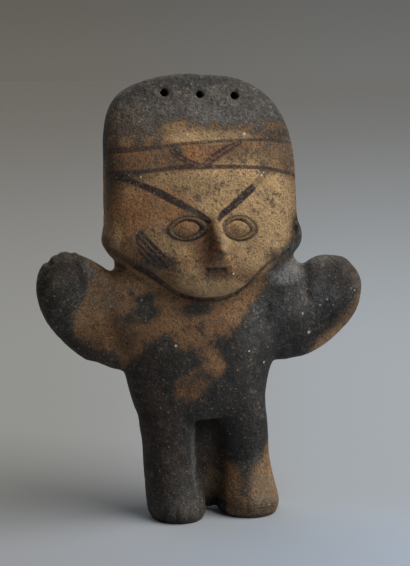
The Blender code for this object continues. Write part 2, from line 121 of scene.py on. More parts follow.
# Parts of the jaw's line, each as its first step, the one after its last, and how dark it is; the line is
# partly brushed and partly painted shade in the crease under the jaw
JAW_PARTS = ((0, 6, .55), (5, 9, .95), (8, 11, .62), (10, 16, .85), (15, 18, .70), (17, 21, .45))
# Each line with how dark it is: 1 as fresh as it gets, and the lines of painted shade on the same scale
LINES = ((BAND_TOP, .80), (BAND_LOW, .90), (VEE_LEFT, .90), (VEE_RIGHT, .85), (BROW_LEFT, 1.0),
         (BROW_RIGHT, 1.0), (BROW_TRACE, .40),
         *((JAW_LINE[first:last], strength) for first, last, strength in JAW_PARTS), (MOUTH_LINE, .72),
         (MOUTH_SMEAR, .62), (LOWER_LIP, .45), (NOSE_SIDE, .22), (NOSTRIL, .30),
         *((corner, .60) for corner in EYE_CORNERS), *((stroke, 1.0) for stroke in CHEEK_STROKES),
         *((dash, .55) for dash in CHEEK_DASHES), *((stripe, .45) for stripe in CHEEK_STRIPES))

# The ring round each eye, and the eyeball: middle x, z, half width, half height, tilt in degrees, narrowing
EYES = ((-14.6, 158.9, 10.6, 6.1, 4.0, .12), (14.0, 158.4, 9.1, 6.3, -6.0, .10))
EYEBALLS = ((-15.2, 158.7, 7.4, 4.5, 4.0, .30), (13.0, 158.2, 6.7, 4.5, -6.0, .26))

# Relief of the eyes: where it lies, 1 being its oval's outline, its half width there, and its height
EYE_BANK = (0.86, 0.11, 0.45)
EYE_GROOVE = (1.05, 0.08, 0.40)
BALL_GROOVE = (1.03, 0.13, 0.50)
BALL_GROOVE_END = 1.1  # where on the eye's own oval the groove round the eyeball stops
BALL_SWELL = 0.60
# Brushed outlines of the eyes and eyeballs: where they lie, half width, how much wider the eye's is below,
# and how dark they are; then how much darker the clay is between the two, and the edges of that ring
RING_PLACE, RING_LINE, RING_LINE_BELOW, RING_DARK = 1.02, 0.36, 0.30, 0.80
BALL_PLACE, BALL_LINE, BALL_DARK = 1.06, 0.32, 0.55
RINGED_DIM, RINGED_OUTER_EDGE, RINGED_INNER_EDGE = 0.40, (RING_PLACE, 0.96), (0.98, BALL_PLACE)
RING_BELOW_REACH = 4  # how far above and below its middle the eye's outline widens, in millimetres
LINE_HALO = 1.5  # how far round a line its own darkness holds, in millimetres
# The mouth's recess: its middle, its half width and half height, its depth, how that grows upward, its edge,
# and the heights below and above its middle between which it grows
MOUTH_X, MOUTH_Z = -0.6, 134.9
MOUTH_HALF_WIDTH, MOUTH_HALF_HEIGHT = 5.4, 3.4
MOUTH_DEPTH, MOUTH_SLANT, MOUTH_EDGE, MOUTH_SPAN = 0.75, 0.22, (1.30, 0.75), (-2, 2.5)
# How deep the jaw's groove and the strokes on the cheek are pressed, and their edges beside the painted line
JAW_DEPTH, JAW_EDGE = 0.85, (-1.6, 0.8)
STROKE_DEPTH, STROKE_EDGE = 0.22, (-0.5, 0.4)
# The nose is pinched toward this x by this share, with these edges in front, above, below and beside it
NOSE_X, NOSE_PINCH = 1.5, 0.24
NOSE_FRONT_EDGE, NOSE_TOP_EDGE, NOSE_TIP_EDGE, NOSE_SIDE_EDGE = (-18, -21), (157, 150), (142, 145), (11, 7)
# The crest holes' middles (x, z), and the worn hollow round each: how far its middle lies to the lower
# left, its edge, its depth, and the lip round it as its place, half width and height
HOLES = ((-21.6, 229.0), (-2.5, 228.6), (17.3, 227.2))
RIM_LEFT, RIM_DOWN = 0.5, 0.4
RIM_EDGE, RIM_DEPTH = (4.6, 1.8), 1.3
LIP = (5.0, 0.6, 0.30)
# The edge of what isn't smoothed round a hole, and how far round it and back from it the shell is refined
HOLE_SHARP_EDGE = (3.4, 2.4)
HOLE_FINE, HOLE_BACK = 4.8, 5.0
# The part of the face that is refined, in millimetres, and the most of the y of the way that it faces
FACE_HALF_WIDTH, FACE_LOW, FACE_HIGH, FACE_FRONT, FACE_TURN = 30, 117, 170, -6, -0.25
# Sizes of the lumps that kneading and pitting leave, in metres
KNEADING_SIZE, PITTING_SIZE = 0.016, 0.0042
HOLLOW_ROUNDS = 12  # times that the surface is evened out to tell its hollows

# Low lumps and hollows of the front: x, z, half width, half height, rise in millimetres
LUMPS = ((-54.0, 156.0, 3.2, 8.0, 1.0), (51.0, 154.5, 3.6, 7.5, 1.2), (-48.6, 155.0, 2.2, 8.5, -.6),
         (44.6, 155.5, 2.4, 8.0, -.8), (0.3, 136.0, 8.5, 6.5, .8), (8.2, 137.5, 1.5, 4.2, .5),
         (5.4, 141.8, 1.5, 3.6, .45), (1.0, 132.6, 5.0, 1.3, .35), (-7.5, 138.0, 1.4, 4.5, -.35),
         (50.0, 133.5, 4.5, 5.5, 1.0), (65.0, 133.0, 5.0, 5.0, .6), (-75.0, 124.0, 8.5, 13.0, -.9),
         (-66.0, 134.5, 3.2, 7.0, .7), (-57.0, 125.0, 9.0, 8.0, .5), (74.0, 124.0, 7.0, 9.0, -.5),
         (-28.0, 167.0, 11.0, 5.0, -.25), (10.0, 176.0, 14.0, 9.0, .25), (-19.5, 5.5, 11.0, 4.5, .5),
         (22.0, 7.5, 10.0, 4.5, .4), (23.0, 33.0, 6.0, 7.0, .35), (-20.0, 40.0, 7.0, 14.0, -.35),
         (-38.0, 108.0, 8.0, 6.0, .4), (0.0, 108.0, 20.0, 7.0, .3), (20.0, 88.0, 10.0, 12.0, .35),
         (-22.0, 84.0, 9.0, 9.0, .35), (30.0, 222.0, 16.0, 9.0, -.25), (-20.0, 220.0, 20.0, 8.0, .2))
# Creases: a path of (x, z, half width), and how deep in millimetres
CREASES = ((((56.6, 139.0, 2.0), (55.1, 131.0, 3.0), (56.3, 124.5, 2.4), (58.8, 117.0, .8)), 1.2),
           (NOSTRIL, .35), (NOSE_SIDE, .45), (LOWER_LIP, .30),
           (((-71.0, 140.4, .6), (-69.5, 136.5, .6), (-69.0, 130.5, .2)), .5),
           (((-27.5, 2.0, .7), (-27.0, 8.0, .4)), .5), (((-21.5, 2.0, .7), (-21.0, 9.0, .4)), .45),
           (((-15.0, 2.5, .6), (-14.8, 8.5, .4)), .4), (((17.5, 3.0, .5), (18.0, 9.0, .3)), .35),
           (((27.0, 3.5, .5), (27.0, 8.5, .3)), .3),
           (((45.6, 198.0, .5), (45.7, 182.0, .6), (44.0, 167.0, .5)), .3),
           (((39.8, 170.0, .5), (33.5, 176.0, .4)), .3), (((-49.5, 183.0, .5), (-50.5, 168.0, .5)), .3))
CREASE_START, CREASE_FULL = -1.5, 1.2  # a crease's edge beside its path; it starts its depth farther out
# Chips and bumps of the outline: x, y, z, reach, and how far it is pulled along x and z, in millimetres
PULLS = ((-76.0, 3.0, 144.0, 9.0, 0.0, 1.2), (-73.0, 3.0, 146.4, 2.2, 0.0, -1.0),
         (-79.6, 3.0, 145.4, 2.2, 0.3, -.8), (-85.0, 3.0, 141.5, 3.2, 1.0, -1.3),
         (-70.2, 3.0, 145.4, 2.2, 0.0, .8), (2.5, 2.0, 7.0, 7.0, 0.0, -4.4),
         (-57.0, 6.0, 153.0, 9.0, -1.7, -.4), (64.0, 3.0, 143.0, 12.0, 0.0, 1.4),
         (84.0, 3.0, 131.0, 9.0, -1.1, -.9), (50.0, 3.0, 86.5, 10.0, 0.0, 1.3),
         (-58.0, 3.0, 85.5, 9.0, 0.0, 1.5), (3.0, 8.0, 240.0, 17.0, 0.0, -1.2),
         (-9.6, 8.0, 240.0, 2.6, 0.0, -.8), (1.5, 8.0, 240.0, 2.4, 0.0, -.7),
         (-33.0, 6.0, 236.5, 3.0, 0.2, -.9), (-46.0, 3.0, 79.0, 3.0, .8, 0.0),
         (-54.6, 8.0, 166.0, 4.0, .6, 0.0))
PULL_SHAPE = (1, 0.3, 1)  # counts less of a distance from front to back, so a pull takes in the whole depth

# Smoked and blackened patches of the front, as corners (x, z) in millimetres
CROWN = ((-62, 206.5), (-53, 207.4), (-47.4, 206.1), (-39.9, 206.3), (-32.1, 207.0), (-26.6, 209.0),
         (-22.0, 213.0), (-14.0, 214.0), (-9.5, 211.2), (0.6, 209.8), (8.8, 208.6), (17.2, 209.4),
         (23, 210.6), (31.8, 211.2), (38.2, 211.0), (44.3, 210.2), (62, 209.5), (50, 262), (-62, 262))
RIGHT_SIDE = ((60, 168), (52.8, 163), (52.0, 158.0), (50.6, 153.6), (46.5, 151.0), (42.6, 148.4),
              (38.8, 144.8), (35.4, 139.5), (29.7, 123.4), (22.2, 115.8), (14.6, 105.7), (8.7, 100.7),
              (0.6, 99.6), (0.0, 95), (4.5, 90.0), (6.8, 84.5), (4, 78.5), (-1, 75.5), (-3.6, 70.5),
              (-9.5, 66), (-15, 64.5), (-10, 50), (4, 46), (5, 34), (11, 29.5), (17.5, 27), (17, 20),
              (16, 13), (19, 12), (20.5, 19), (22, 25), (27, 30), (33, 37), (44, 50), (46, 80),
              (58.5, 86.0), (63.5, 92.5), (66.5, 97), (71, 100.8), (75, 104.8), (78.6, 109.5), (81.4, 114),
              (85, 118), (92, 122), (92, 150))
LEFT_LEG = ((-60, 76), (-47, 79), (-43, 84), (-40, 89), (-36, 93.5), (-31.5, 98.5), (-25, 100.5),
            (-20, 95.0), (-10, 93), (-7.5, 92.5), (-6.5, 87.5), (-8.5, 83.5), (-13.5, 80.5), (-19.5, 77),
            (-21.5, 71.5), (-20.5, 67.5), (-17, 65), (-12, 64.5), (-8, 66), (-3, 69), (2, 66), (3, 52),
            (3, 46), (3, 20), (2, -8), (-60, -8))
LEFT_HAND = ((-62, 150), (-63, 138), (-64.5, 131), (-68, 121), (-73, 116), (-75, 110), (-74.5, 105),
             (-71, 101), (-64, 96.5), (-55, 93.0), (-50.5, 90.5), (-48.5, 86), (-48.5, 70), (-110, 70),
             (-110, 150))
# The web between the legs: its recess is darkened, partly smoked clay and partly painted shade
INNER_LEG = ((-3.5, 50), (10.5, 50), (11.0, 30), (10.5, 14), (12.0, 9.5), (11.0, -4), (-7, -4), (-4.8, 20))
# The front's patches, each with how crisp its edge is
SOOT_PATCHES = ((CROWN, 0.45), (RIGHT_SIDE, 1.0), (LEFT_LEG, 0.8), (LEFT_HAND, 1.0))
# Blackened patches of the back, as corners (x, z) in millimetres
BACK_CLOUD = ((-62, 196), (-40, 190), (-22, 197), (-6, 186), (12, 176), (30, 180), (42, 168), (62, 164),
              (62, 262), (-62, 262))
BACK_WAIST = ((-50, 94), (-28, 102), (-10, 92), (6, 98), (22, 112), (40, 120), (60, 122), (96, 118),
              (96, 84), (50, 70), (36, 46), (20, 36), (6, 50), (-8, 60), (-26, 56), (-40, 66), (-56, 80))
BACK_LEG = ((-50, 30), (-34, 40), (-20, 34), (-8, 22), (-4, -8), (-50, -8))
# Round patches: x, z, half width, half height, and how black: 1 puts its edge on the oval, and more grows it
# The long narrow spot at x -56.5 down the head's left edge is painted shade on the side away from the light,
# blackened like soot
SOOT_SPOTS = ((-35.6, 121.6, 4.6, 2.4, 1.6), (-34.6, 114.6, 4.8, 3.6, 1.9), (-44.8, 111.2, 5.0, 1.7, .8),
              (-42.5, 124.5, 2.2, 1.6, .5), (-1, 97.2, 2.5, 2.0, .4), (-31, 141.8, 6.5, 2.4, 1.5),
              (-47, 186.2, 7.0, 1.8, .7), (-66.5, 136.0, 3.4, 4.6, 2.0), (35.5, 141.8, 4.5, 2.0, .5),
              (-56.5, 184, 2.6, 22, .9), (31, 188.4, 3.0, 2.0, -.2), (41, 207.5, 12, 4.5, .1),
              (30, 142, 3, 1.4, -.4), (-8.5, 114.8, 13, 5.5, -1.6), (-19, 198.5, 2.8, 2.0, .5),
              (-8.5, 80.5, 4.0, 1.8, .3), (-2, 78, 2.5, 1.5, .4))

# Where the front's tones lie: russet clay, the palest clay, darker clay with painted shade, a grey bloom,
# brown in the soot, pale dapples and dark stains, each in ovals of x, z, half width, half height and
# strength; the pale and dapple ovals on the nose's ridge are a painted highlight
WARM = ((-30, 172, 22, 13, .8), (-62, 101, 20, 7, .6), (-17, 70, 7, 5, .9), (4, 84, 5, 5, .5),
        (-10, 197, 9, 6, .9), (-42, 196, 14, 8, .7), (-35, 128, 18, 14, .2), (10, 20, 5, 14, .3),
        (-46, 165, 10, 16, .5), (-20, 140, 10, 8, .5), (10, 106, 14, 8, .3), (30, 196, 10, 6, .3),
        (-8, 147, 7, 7, .4), (4, 128, 12, 5, .3), (-15, 159, 8, 6, .5), (13, 159, 7, 5, .5),
        (8, 138, 16, 12, .30), (2, 150, 6, 9, .25))
# The first pale oval, on the nose's ridge, is a painted highlight on the nose's lit side
PALE = ((4.5, 151, 4, 8, .6), (46, 138.5, 9, 5, .7), (88, 128, 6, 14, .6), (0, 126, 18, 7, .35),
        (4, 84, 6, 5, .25), (-4, 222, 52, 20, .50), (-44, 214, 16, 12, .7), (-3, 211, 34, 4, .15),
        (30, 224, 16, 10, .2), (12, 178, 32, 18, 1.0), (35, 165, 16, 24, .9), (22, 145, 18, 12, .8),
        (5, 126, 14, 6, .9), (2, 206, 24, 3.5, .95), (30, 197, 18, 8, .5), (10, 156, 10, 12, .5),
        (29, 19, 10, 13, .42), (3, 17, 7, 9, 1.0), (-12, 132, 12, 8, .6), (-15, 182, 20, 8, .6),
        (-36, 176, 16, 24, .35), (62, 92, 12, 6, .5), (76, 101, 8, 8, .5), (84, 111, 6, 8, .2),
        (14, 112, 12, 8, .3), (-25, 150, 14, 12, .6), (-18, 141, 11, 8, .5), (-52, 156, 5, 9, .4))
# These ovals darken the clay; those under the left arm, down the head's left edge, beside the nose's left
# side, over the mouth's recess and round the feet's lower edges are painted shade
DIM_AND_SHADE = ((-46, 88, 7, 13, .28), (72, 99, 16, 8, .20), (-54, 189, 7, 21, .45), (-17, 181, 17, 12, .34),
       (50.5, 156.5, 5, 8, .55), (2, 206, 24, 3.5, .03), (48.5, 158, 6, 9, .30), (16, 142, 13, 10, .30),
       (38, 196, 12, 12, .25), (46, 172, 8, 30, .30), (-40, 176, 10, 34, .18), (-64, 128, 18, 16, .30),
       (-60, 101, 22, 9, .40), (-40, 106, 14, 12, .15), (-10, 74, 20, 12, .45), (30, 20, 12, 22, .10),
       (-6, 148, 6, 6, .12), (-1.0, 135.0, 7.5, 5.0, .45), (22, 6, 16, 5, .55), (12, 22, 8, 16, .35),
       (30, 22, 10, 16, .22), (82, 118, 10, 14, .50), (-24, 196, 26, 6, .15), (0, 216, 8, 8, -.30),
       (-2, 118, 16, 3, .20), (24, 197, 12, 6, .20), (3, 151, 7, 10, .10), (-2, 100, 22, 6, .05),
       (-15, 162, 12, 9, .06), (-14.6, 159.2, 7, 4.4, .16), (13.2, 158.4, 7, 4.6, .14),
       (-19, 9, 14, 6, .20), (10, 148, 5, 4, .15), (-18, 150, 12, 4, .08), (16, 149, 12, 3.5, .12),
       (-34, 150, 12, 12, .12), (-46, 152, 8, 10, -.15), (0, 126, 18, 7, -.20))
BLOOM = ((4, 206.5, 26, 3, .30), (48, 144, 9, 5, .6), (-66, 130, 9, 12, .10), (50, 135, 8, 7, .8),
         (54, 138.5, 5, 3.2, .8), (41, 131.0, 12, 5.5, 1.05), (-9.0, 34, 2.2, 22, .45),
         (-20, 9, 16, 6, .18), (26, 27, 5, 7, .35), (-63, 140, 5, 6, .5), (60, 118, 18, 14, .42),
         (10, 222, 46, 15, .38), (-38, 218, 18, 14, .22), (28, 112, 20, 18, .32), (12, 214, 24, 6, .30),
         (24, 84, 8, 26, .10), (2, 222, 14, 12, .20), (72, 128, 12, 12, .22), (-20, 28, 9, 26, .05),
         (18, 92, 8, 10, .14), (-34, 78, 5, 12, .10), (65, 138, 14, 4, .30))
UMBER = ((-34, 80, 12, 20, .8), (-30, 58, 9, 12, .6), (-26, 92, 8, 8, .4), (-44, 209, 14, 5, .9),
         (4, 211, 22, 4, .8), (38, 208, 16, 5, 1.0), (-78, 140, 12, 8, 1.2), (77, 131, 15, 13, .85),
         (46, 141, 8, 5, .7), (10, 24, 5, 14, .8), (-56, 92, 16, 5, .5), (14, 104, 10, 8, .25),
         (-20, 60, 10, 6, .6), (-26, 36, 14, 26, .9), (-62, 94, 24, 6, .8))
# The dapple on the nose's ridge belongs to its painted highlight
DAPPLE = ((34, 197, 22, 7, .8), (-38, 194, 22, 7, .7), (2, 206, 24, 4, .6), (40, 207, 15, 6, .8),
          (4, 84, 6, 6, .6), (0, 127, 14, 6, .4), (8, 140, 14, 8, .3), (4, 152, 4.5, 9, .9),
          (29, 12, 12, 9, .5), (27, 177, 6, 5, .6), (45, 178, 8, 16, .35), (-58, 128, 20, 12, 1.0),
          (-50, 117, 14, 6, .7), (-70, 112, 8, 10, .5), (-62, 140, 8, 5, .8), (-14, 138, 8, 8, .3),
          (86, 124, 6, 14, .6), (0, 214, 40, 10, .35), (24, 96, 16, 18, .3), (26, 16, 14, 15, .85),
          (0, 226, 46, 14, .40), (-76, 122, 8, 12, .40), (-10, 74, 14, 10, .35))
STAIN = ((74, 101, 16, 8, .9), (2, 108, 26, 10, .75), (-46, 90, 8, 12, .6), (14, 196, 12, 6, .6),
         (50, 157, 5, 8, .8), (18, 88, 14, 16, .3), (62, 92, 10, 5, .6), (-14, 176, 16, 12, .25),
         (26, 170, 14, 12, .3), (0, 146, 30, 8, .35), (-24, 128, 14, 8, .4), (14, 130, 12, 8, .3),
         (-38, 194, 28, 9, 1.2), (34, 197, 26, 10, 1.1), (-40, 204, 20, 5, 1.0), (-32, 158, 16, 16, .5),
         (0, 178, 40, 10, .35), (40, 172, 10, 22, .4), (-60, 112, 24, 16, .9), (-30, 104, 20, 10, .6),
         (-16, 140, 8, 10, .5), (5, 30, 5, 16, .8), (36, 208, 18, 6, 1.2), (-60, 96, 20, 5, .7),
         (-4, 74, 22, 14, .7), (84, 118, 8, 20, 1.0), (24, 12, 14, 9, .5), (-56, 140, 8, 10, .5),
         (3, 152, 5, 9, .5), (46, 192, 8, 14, .6))
# The back's tones in the same way
BACK_WARM = ((-20, 150, 22, 26, .6), (30, 140, 18, 16, .4), (-60, 110, 20, 16, .5), (20, 28, 14, 20, .5),
             (0, 76, 24, 12, .6))
BACK_PALE = ((-8, 168, 30, 22, .5), (60, 108, 18, 14, .3), (-50, 130, 18, 10, .3), (24, 20, 12, 14, .4))
BACK_BLOOM = ((0, 220, 40, 18, .35), (10, 80, 30, 20, .15), (-30, 16, 14, 14, .2), (50, 104, 18, 14, .2))
TONE_LIMIT = 1.2  # the most that overlapping ovals add up to
TONE_EDGE = (1.35, 0.35)  # an oval's edge, 1 being its outline
# Edges of the web between the legs, toward the front and along its sides, and of the painted shade in its
# arch and round the soles, with how dark the soles' is beside the arch's
WEB_FRONT_EDGE, WEB_SIDE_EDGE = (-11, -6), (-1, 2)
ARCH_EDGE, SOLE_EDGE, SOLE_SHADE = (9.5, 7.5), (4.0, 0.5), 0.9
LINE_SPAN, PATCH_SPAN = 4, 12  # how far round a line or patch its margin is told apart, in millimetres

# Grains of white grit that show: x, y, z and radius in millimetres
GRIT = ((-20.2, -11.5, 96.2, .75), (68.0, -4.2, 116.5, .95), (58.3, -2.6, 98.3, 1.1),
        (53.6, -3.9, 109.3, .8), (64.3, -3.3, 113.2, .7), (71.2, -5.3, 113.2, .7), (84.4, -4.4, 120.9, .8),
        (42.0, -4.4, 93.3, .7), (20.9, -11.2, 91.2, .6), (30.7, -7.4, 83.9, .8), (60.4, -3.0, 103.3, .6),
        (29.0, -10.5, 187.4, .8), (27.6, -10.9, 185.9, .8), (-38.0, -9.0, 186.0, .6),
        (19.6, -4.8, 207.6, .8), (-11.8, -5.5, 207.8, .6), (-39.0, -8.0, 133.0, .55),
        (9.0, -20.5, 135.0, .75), (-9.0, -17.5, 147.0, .7), (18.5, -14.6, 154.6, .8),
        (19.6, -14.6, 156.0, .7))

# Tones of the clay beside those in its settings, as linear colours
STAINED, GOLDEN = (0.042, 0.025, 0.017), (0.42, 0.31, 0.19)
UMBER_SOOT, TAN_SOOT = (0.033, 0.022, 0.017), (0.135, 0.100, 0.068)
HAND_SOOT, BROWN_SOOT = (0.034, 0.025, 0.018), (0.062, 0.045, 0.031)
# The web's dark clay, partly painted shade in the recess between the legs, and its paler part
WEB_DARK, WEB_LIGHT = (0.031, 0.0215, 0.0145), (0.082, 0.055, 0.035)
# The first colour here is painted shade under the arch and round the soles
UNDER_SHADE, DAPPLED = (0.007, 0.006, 0.005), (0.130, 0.114, 0.086)
PAINT_WORN, PAINT_CORE = (0.050, 0.044, 0.036), (0.25, 0.105, 0.065)
# Painted shade for the hollows, and the pale tint laid on ridges
HOLLOW_SHADE, RIDGE_PALE = (0.014, 0.009, 0.006), (0.36, 0.29, 0.22)
DUSTED, PITTED, CHALKED = (0.27, 0.235, 0.19), (0.012, 0.009, 0.007), (0.42, 0.37, 0.30)
# The clay's clouds of noise, from broad to fine: the size of their lumps in millimetres, detail, roughness,
# and a shift that keeps them apart
CLOUDS = ((19, 2, 0.55, (3.1, 0.7, 9.2)), (5.0, 4, 0.6, (0.0, 0.0, 0.0)), (1.9, 3, 0.65, (7.7, 1.3, 2.9)),
          (0.95, 1, 0.5, (1.9, 5.3, 4.4)))
CLOUD_SPAN = 5.0  # how far apart a cloud's least and most can lie
CHALK_SCALE = 0.30  # cells of chalky grains to the millimetre

# The stage
FLOOR_SIDES, FLOOR_RADIUS = 96, 60.0
# Painted fall of light: how bright the far floor and the upper backdrop are, beside the backdrop at the
# horizon, and the edges of the far floor, of the brighter floor in front of the figure and of the upper
# backdrop
FAR_FLOOR, HIGH_AIR = 0.91, 0.78
FAR_EDGE, AHEAD_EDGE, HIGH_EDGE = (0.28, 1.02), (-0.04, 0.07), (-0.01, 0.07)
FILL_AZIMUTH, FILL_ELEVATION, FILL_SPREAD = math.radians(195), math.radians(40), math.radians(60)
KEY_COLOUR, FILL_COLOUR = (1.0, 0.97, 0.93), (0.90, 0.94, 1.0)
FARTHEST_SEEN = 200.0


def stroke_margin(path, x, z):
    """How far inside a brushed line each point lies, in millimetres, and less than nothing outside it."""
    best = np.full(len(x), -FAR_OFF)
    for (ax, az, aw), (bx, bz, bw) in zip(path, path[1:]):
        run_x, run_z = bx - ax, bz - az
        along = np.clip(((x - ax) * run_x + (z - az) * run_z) / (run_x ** 2 + run_z ** 2), 0, 1)
        gap = np.hypot(x - ax - along * run_x, z - az - along * run_z)
        best = np.maximum(best, aw + along * (bw - aw) - gap)
    return best


def patch_margin(corners, x, z):
    """How far inside a patch each point lies, in millimetres, and less than nothing outside it."""
    inside = np.zeros(len(x), bool)
    gap = np.full(len(x), FAR_OFF)
    for (ax, az), (bx, bz) in zip(corners, corners[1:] + corners[:1]):
        run_x, run_z = bx - ax, bz - az
        along = np.clip(((x - ax) * run_x + (z - az) * run_z) / (run_x ** 2 + run_z ** 2), 0, 1)
        gap = np.minimum(gap, np.hypot(x - ax - along * run_x, z - az - along * run_z))
        if az != bz:
            inside ^= ((az > z) != (bz > z)) & (x < run_x * (z - az) / run_z + ax)
    return np.where(inside, gap, -gap)


def oval_reach(oval, x, z):
    """How far out from an oval's middle each point lies: 1 on its edge, which narrows toward its corners."""
    middle_x, middle_z, half_width, half_height, tilt, narrowing = oval
    turn = math.radians(tilt)
    across = (x - middle_x) * math.cos(turn) + (z - middle_z) * math.sin(turn)
    up = -(x - middle_x) * math.sin(turn) + (z - middle_z) * math.cos(turn)
    across = across / half_width
    return np.hypot(across, up / half_height / (1 - narrowing * np.clip(across ** 2, 0, 1)))


def ease(start, end, value):
    """0 before start, 1 after end, and a smooth step between them."""
    share = np.clip((value - start) / (end - start), 0, 1)
    return share * share * (3 - 2 * share)


def ridge(value, middle, half_width):
    """1 in the middle and falling away on both sides."""
    return np.exp(-((value - middle) / half_width) ** 2)


def spread_of(ovals, x, z):
    """The sum of soft-edged ovals at each point, within the limit."""
    total = np.zeros(len(x))
    for middle_x, middle_z, half_width, half_height, strength in ovals:
        out = np.hypot((x - middle_x) / half_width, (z - middle_z) / half_height)
        total += strength * ease(*TONE_EDGE, out)
    return np.clip(total, 0, TONE_LIMIT)


def near_edge(margin):
    """A patch's margin, told apart only near its edge."""
    return np.clip(margin, -PATCH_SPAN, PATCH_SPAN)


def banked(out, form):
    """A rounded bank round a middle, given as how far out it lies, its half width and its height."""
    middle, half_width, height = form
    return height * ridge(out, middle, half_width)


def places(mesh):
    """Where a mesh's vertices are, in millimetres, and which way they face, as arrays."""
    spots = np.zeros(len(mesh.vertices) * 3, np.float32)
    mesh.vertices.foreach_get("co", spots)
    facing = np.zeros(len(mesh.vertices) * 3, np.float32)
    mesh.vertex_normals.foreach_get("vector", facing)
    return spots.reshape(-1, 3).astype(float) / MILLI, facing.reshape(-1, 3).astype(float)


def place(mesh, spots):
    """Puts a mesh's vertices at these places, given in millimetres."""
    mesh.vertices.foreach_set("co", (spots * MILLI).astype(np.float32).ravel())
    mesh.update()


def apply(shell, kind, **settings):
    """Adds a modifier to the shell and applies it."""
    modifier = shell.modifiers.new(kind.lower(), kind)
    for name, setting in settings.items():
        setattr(modifier, name, setting)
    bpy.ops.object.modifier_apply(modifier=modifier.name)


def alone(shell):
    """Leaves only this object selected and active."""
    bpy.ops.object.select_all(action="DESELECT")
    shell.select_set(True)
    bpy.context.view_layer.objects.active = shell


def grouped(shell, name, members):
    """A vertex group of the shell, weighted by an array in steps of a quarter."""
    group = shell.vertex_groups.new(name=name)
    for weight in (0.25, 0.5, 0.75, 1.0):
        chosen = np.nonzero(np.round(members * 4) == weight * 4)[0]
        group.add(chosen.tolist(), weight, "REPLACE")
    return group.name


class Reading:
    """A socket on its way through a shader, with the arithmetic that the clay and the stage need."""

    def __init__(self, tree, socket):
        self.tree, self.socket = tree, socket

    def make(self, kind, settings, values, output=0):
        """Another node: its settings first, then the values or links of its sockets."""
        node = self.tree.nodes.new(kind)
        for name, setting in settings.items():
            setattr(node, name, setting)
        for socket, value in values.items():
            if isinstance(value, Reading):
                self.tree.links.new(value.socket, node.inputs[socket])
            else:
                node.inputs[socket].default_value = value
        return Reading(self.tree, node.outputs[output])

    def sum(self, operation, *values):
        """What this Math operation makes of the values."""
        return self.make("ShaderNodeMath", {"operation": operation}, dict(enumerate(values)))

    def __add__(self, other):
        return self.sum("ADD", self, other)

    __radd__ = __add__

    def __sub__(self, other):
        return self.sum("SUBTRACT", self, other)

    def __rsub__(self, other):
        return self.sum("SUBTRACT", other, self)

    def __mul__(self, other):
        return self.sum("MULTIPLY", self, other)

    __rmul__ = __mul__

    def most(self, other):
        return self.sum("MAXIMUM", self, other)

    def least(self, other):
        return self.sum("MINIMUM", self, other)

    def step(self, start, end):
        """0 before start, 1 after end, smooth between; it falls where start is past end."""
        low, high = min(start, end), max(start, end)
        rise = self.make("ShaderNodeMapRange", {"interpolation_type": "SMOOTHSTEP"},
                         {0: self, 1: low, 2: high})
        return rise if start < end else 1 - rise

    def tint(self, other, share):
        """This colour, turned to the other by that share."""
        return mixed(share, self, other)

    def shaded(self, other):
        """This colour times the other."""
        return self.make("ShaderNodeMix", {"data_type": "RGBA", "blend_type": "MULTIPLY"},
                         {0: 1.0, 6: self, 7: other}, 2)

    def bright(self, share):
        """This colour made that many times as bright."""
        return self.make("ShaderNodeVectorMath", {"operation": "SCALE"}, {0: self, "Scale": share})

    def written(self, name):
        """What is written on the shell under this name."""
        return self.make("ShaderNodeAttribute", {"attribute_name": name}, {}, "Fac")

    def cloud(self, size, detail, roughness, shift):
        """Noise about nought over this place, in lumps of that size."""
        grown = self.make("ShaderNodeVectorMath", {"operation": "MULTIPLY_ADD"},
                          {0: self, 1: (1 / size,) * 3, 2: shift})
        noise = self.make("ShaderNodeTexNoise", {},
                          {"Vector": grown, "Scale": 1.0, "Detail": detail, "Roughness": roughness})
        return noise * CLOUD_SPAN - CLOUD_SPAN / 2


def mixed(share, first, second):
    """A colour between two others, each given as three numbers or as a reading."""
    ends = [colour if isinstance(colour, Reading) else (*colour, 1.0) for colour in (first, second)]
    return share.make("ShaderNodeMix", {"data_type": "RGBA"}, {0: share, 6: ends[0], 7: ends[1]}, 2)


class ClaySettings(bpy.types.PropertyGroup):
    voxel: FloatProperty(name="Grain of the shell",
                         description="Size of the shell's faces before the face is refined",
                         default=0.00105, unit="LENGTH")
    smoothing: IntProperty(name="Smoothing", description="Times that the shell is smoothed", default=7)
    kneading: FloatProperty(name="Kneading", description="Depth of the hand-pressed unevenness",
                            default=0.0005, unit="LENGTH")
    pitting: FloatProperty(name="Pitting", description="Depth of the small lumps", default=0.0003,
                           unit="LENGTH")
    buff: FloatVectorProperty(name="Buff clay",
                              description="The palest clay, on the forehead and right cheek",
                              default=(0.555, 0.362, 0.180), subtype="COLOR")
    ochre: FloatVectorProperty(name="Ochre clay", description="The clay of the chest and arms",
                               default=(0.235, 0.128, 0.062), subtype="COLOR")
    russet: FloatVectorProperty(name="Russet clay", description="Orange clay, on the left cheek and elbow",
                                default=(0.42, 0.185, 0.072), subtype="COLOR")
    soot: FloatVectorProperty(name="Soot", description="The blackened clay",
                              default=(0.0182, 0.0194, 0.0188), subtype="COLOR")
    ash: FloatVectorProperty(name="Ash", description="The grey bloom on blackened clay",
                             default=(0.150, 0.150, 0.148), subtype="COLOR")
    smoke: FloatVectorProperty(name="Smoke", description="The brown edge of blackened clay",
                               default=(0.062, 0.040, 0.026), subtype="COLOR")
    paint: FloatVectorProperty(name="Brushed line", description="The dark brown of the brushed lines",
                               default=(0.040, 0.026, 0.023), subtype="COLOR")
    grit: FloatVectorProperty(name="Grit", description="The pale grit in the clay",
                              default=(0.75, 0.72, 0.66), subtype="COLOR")


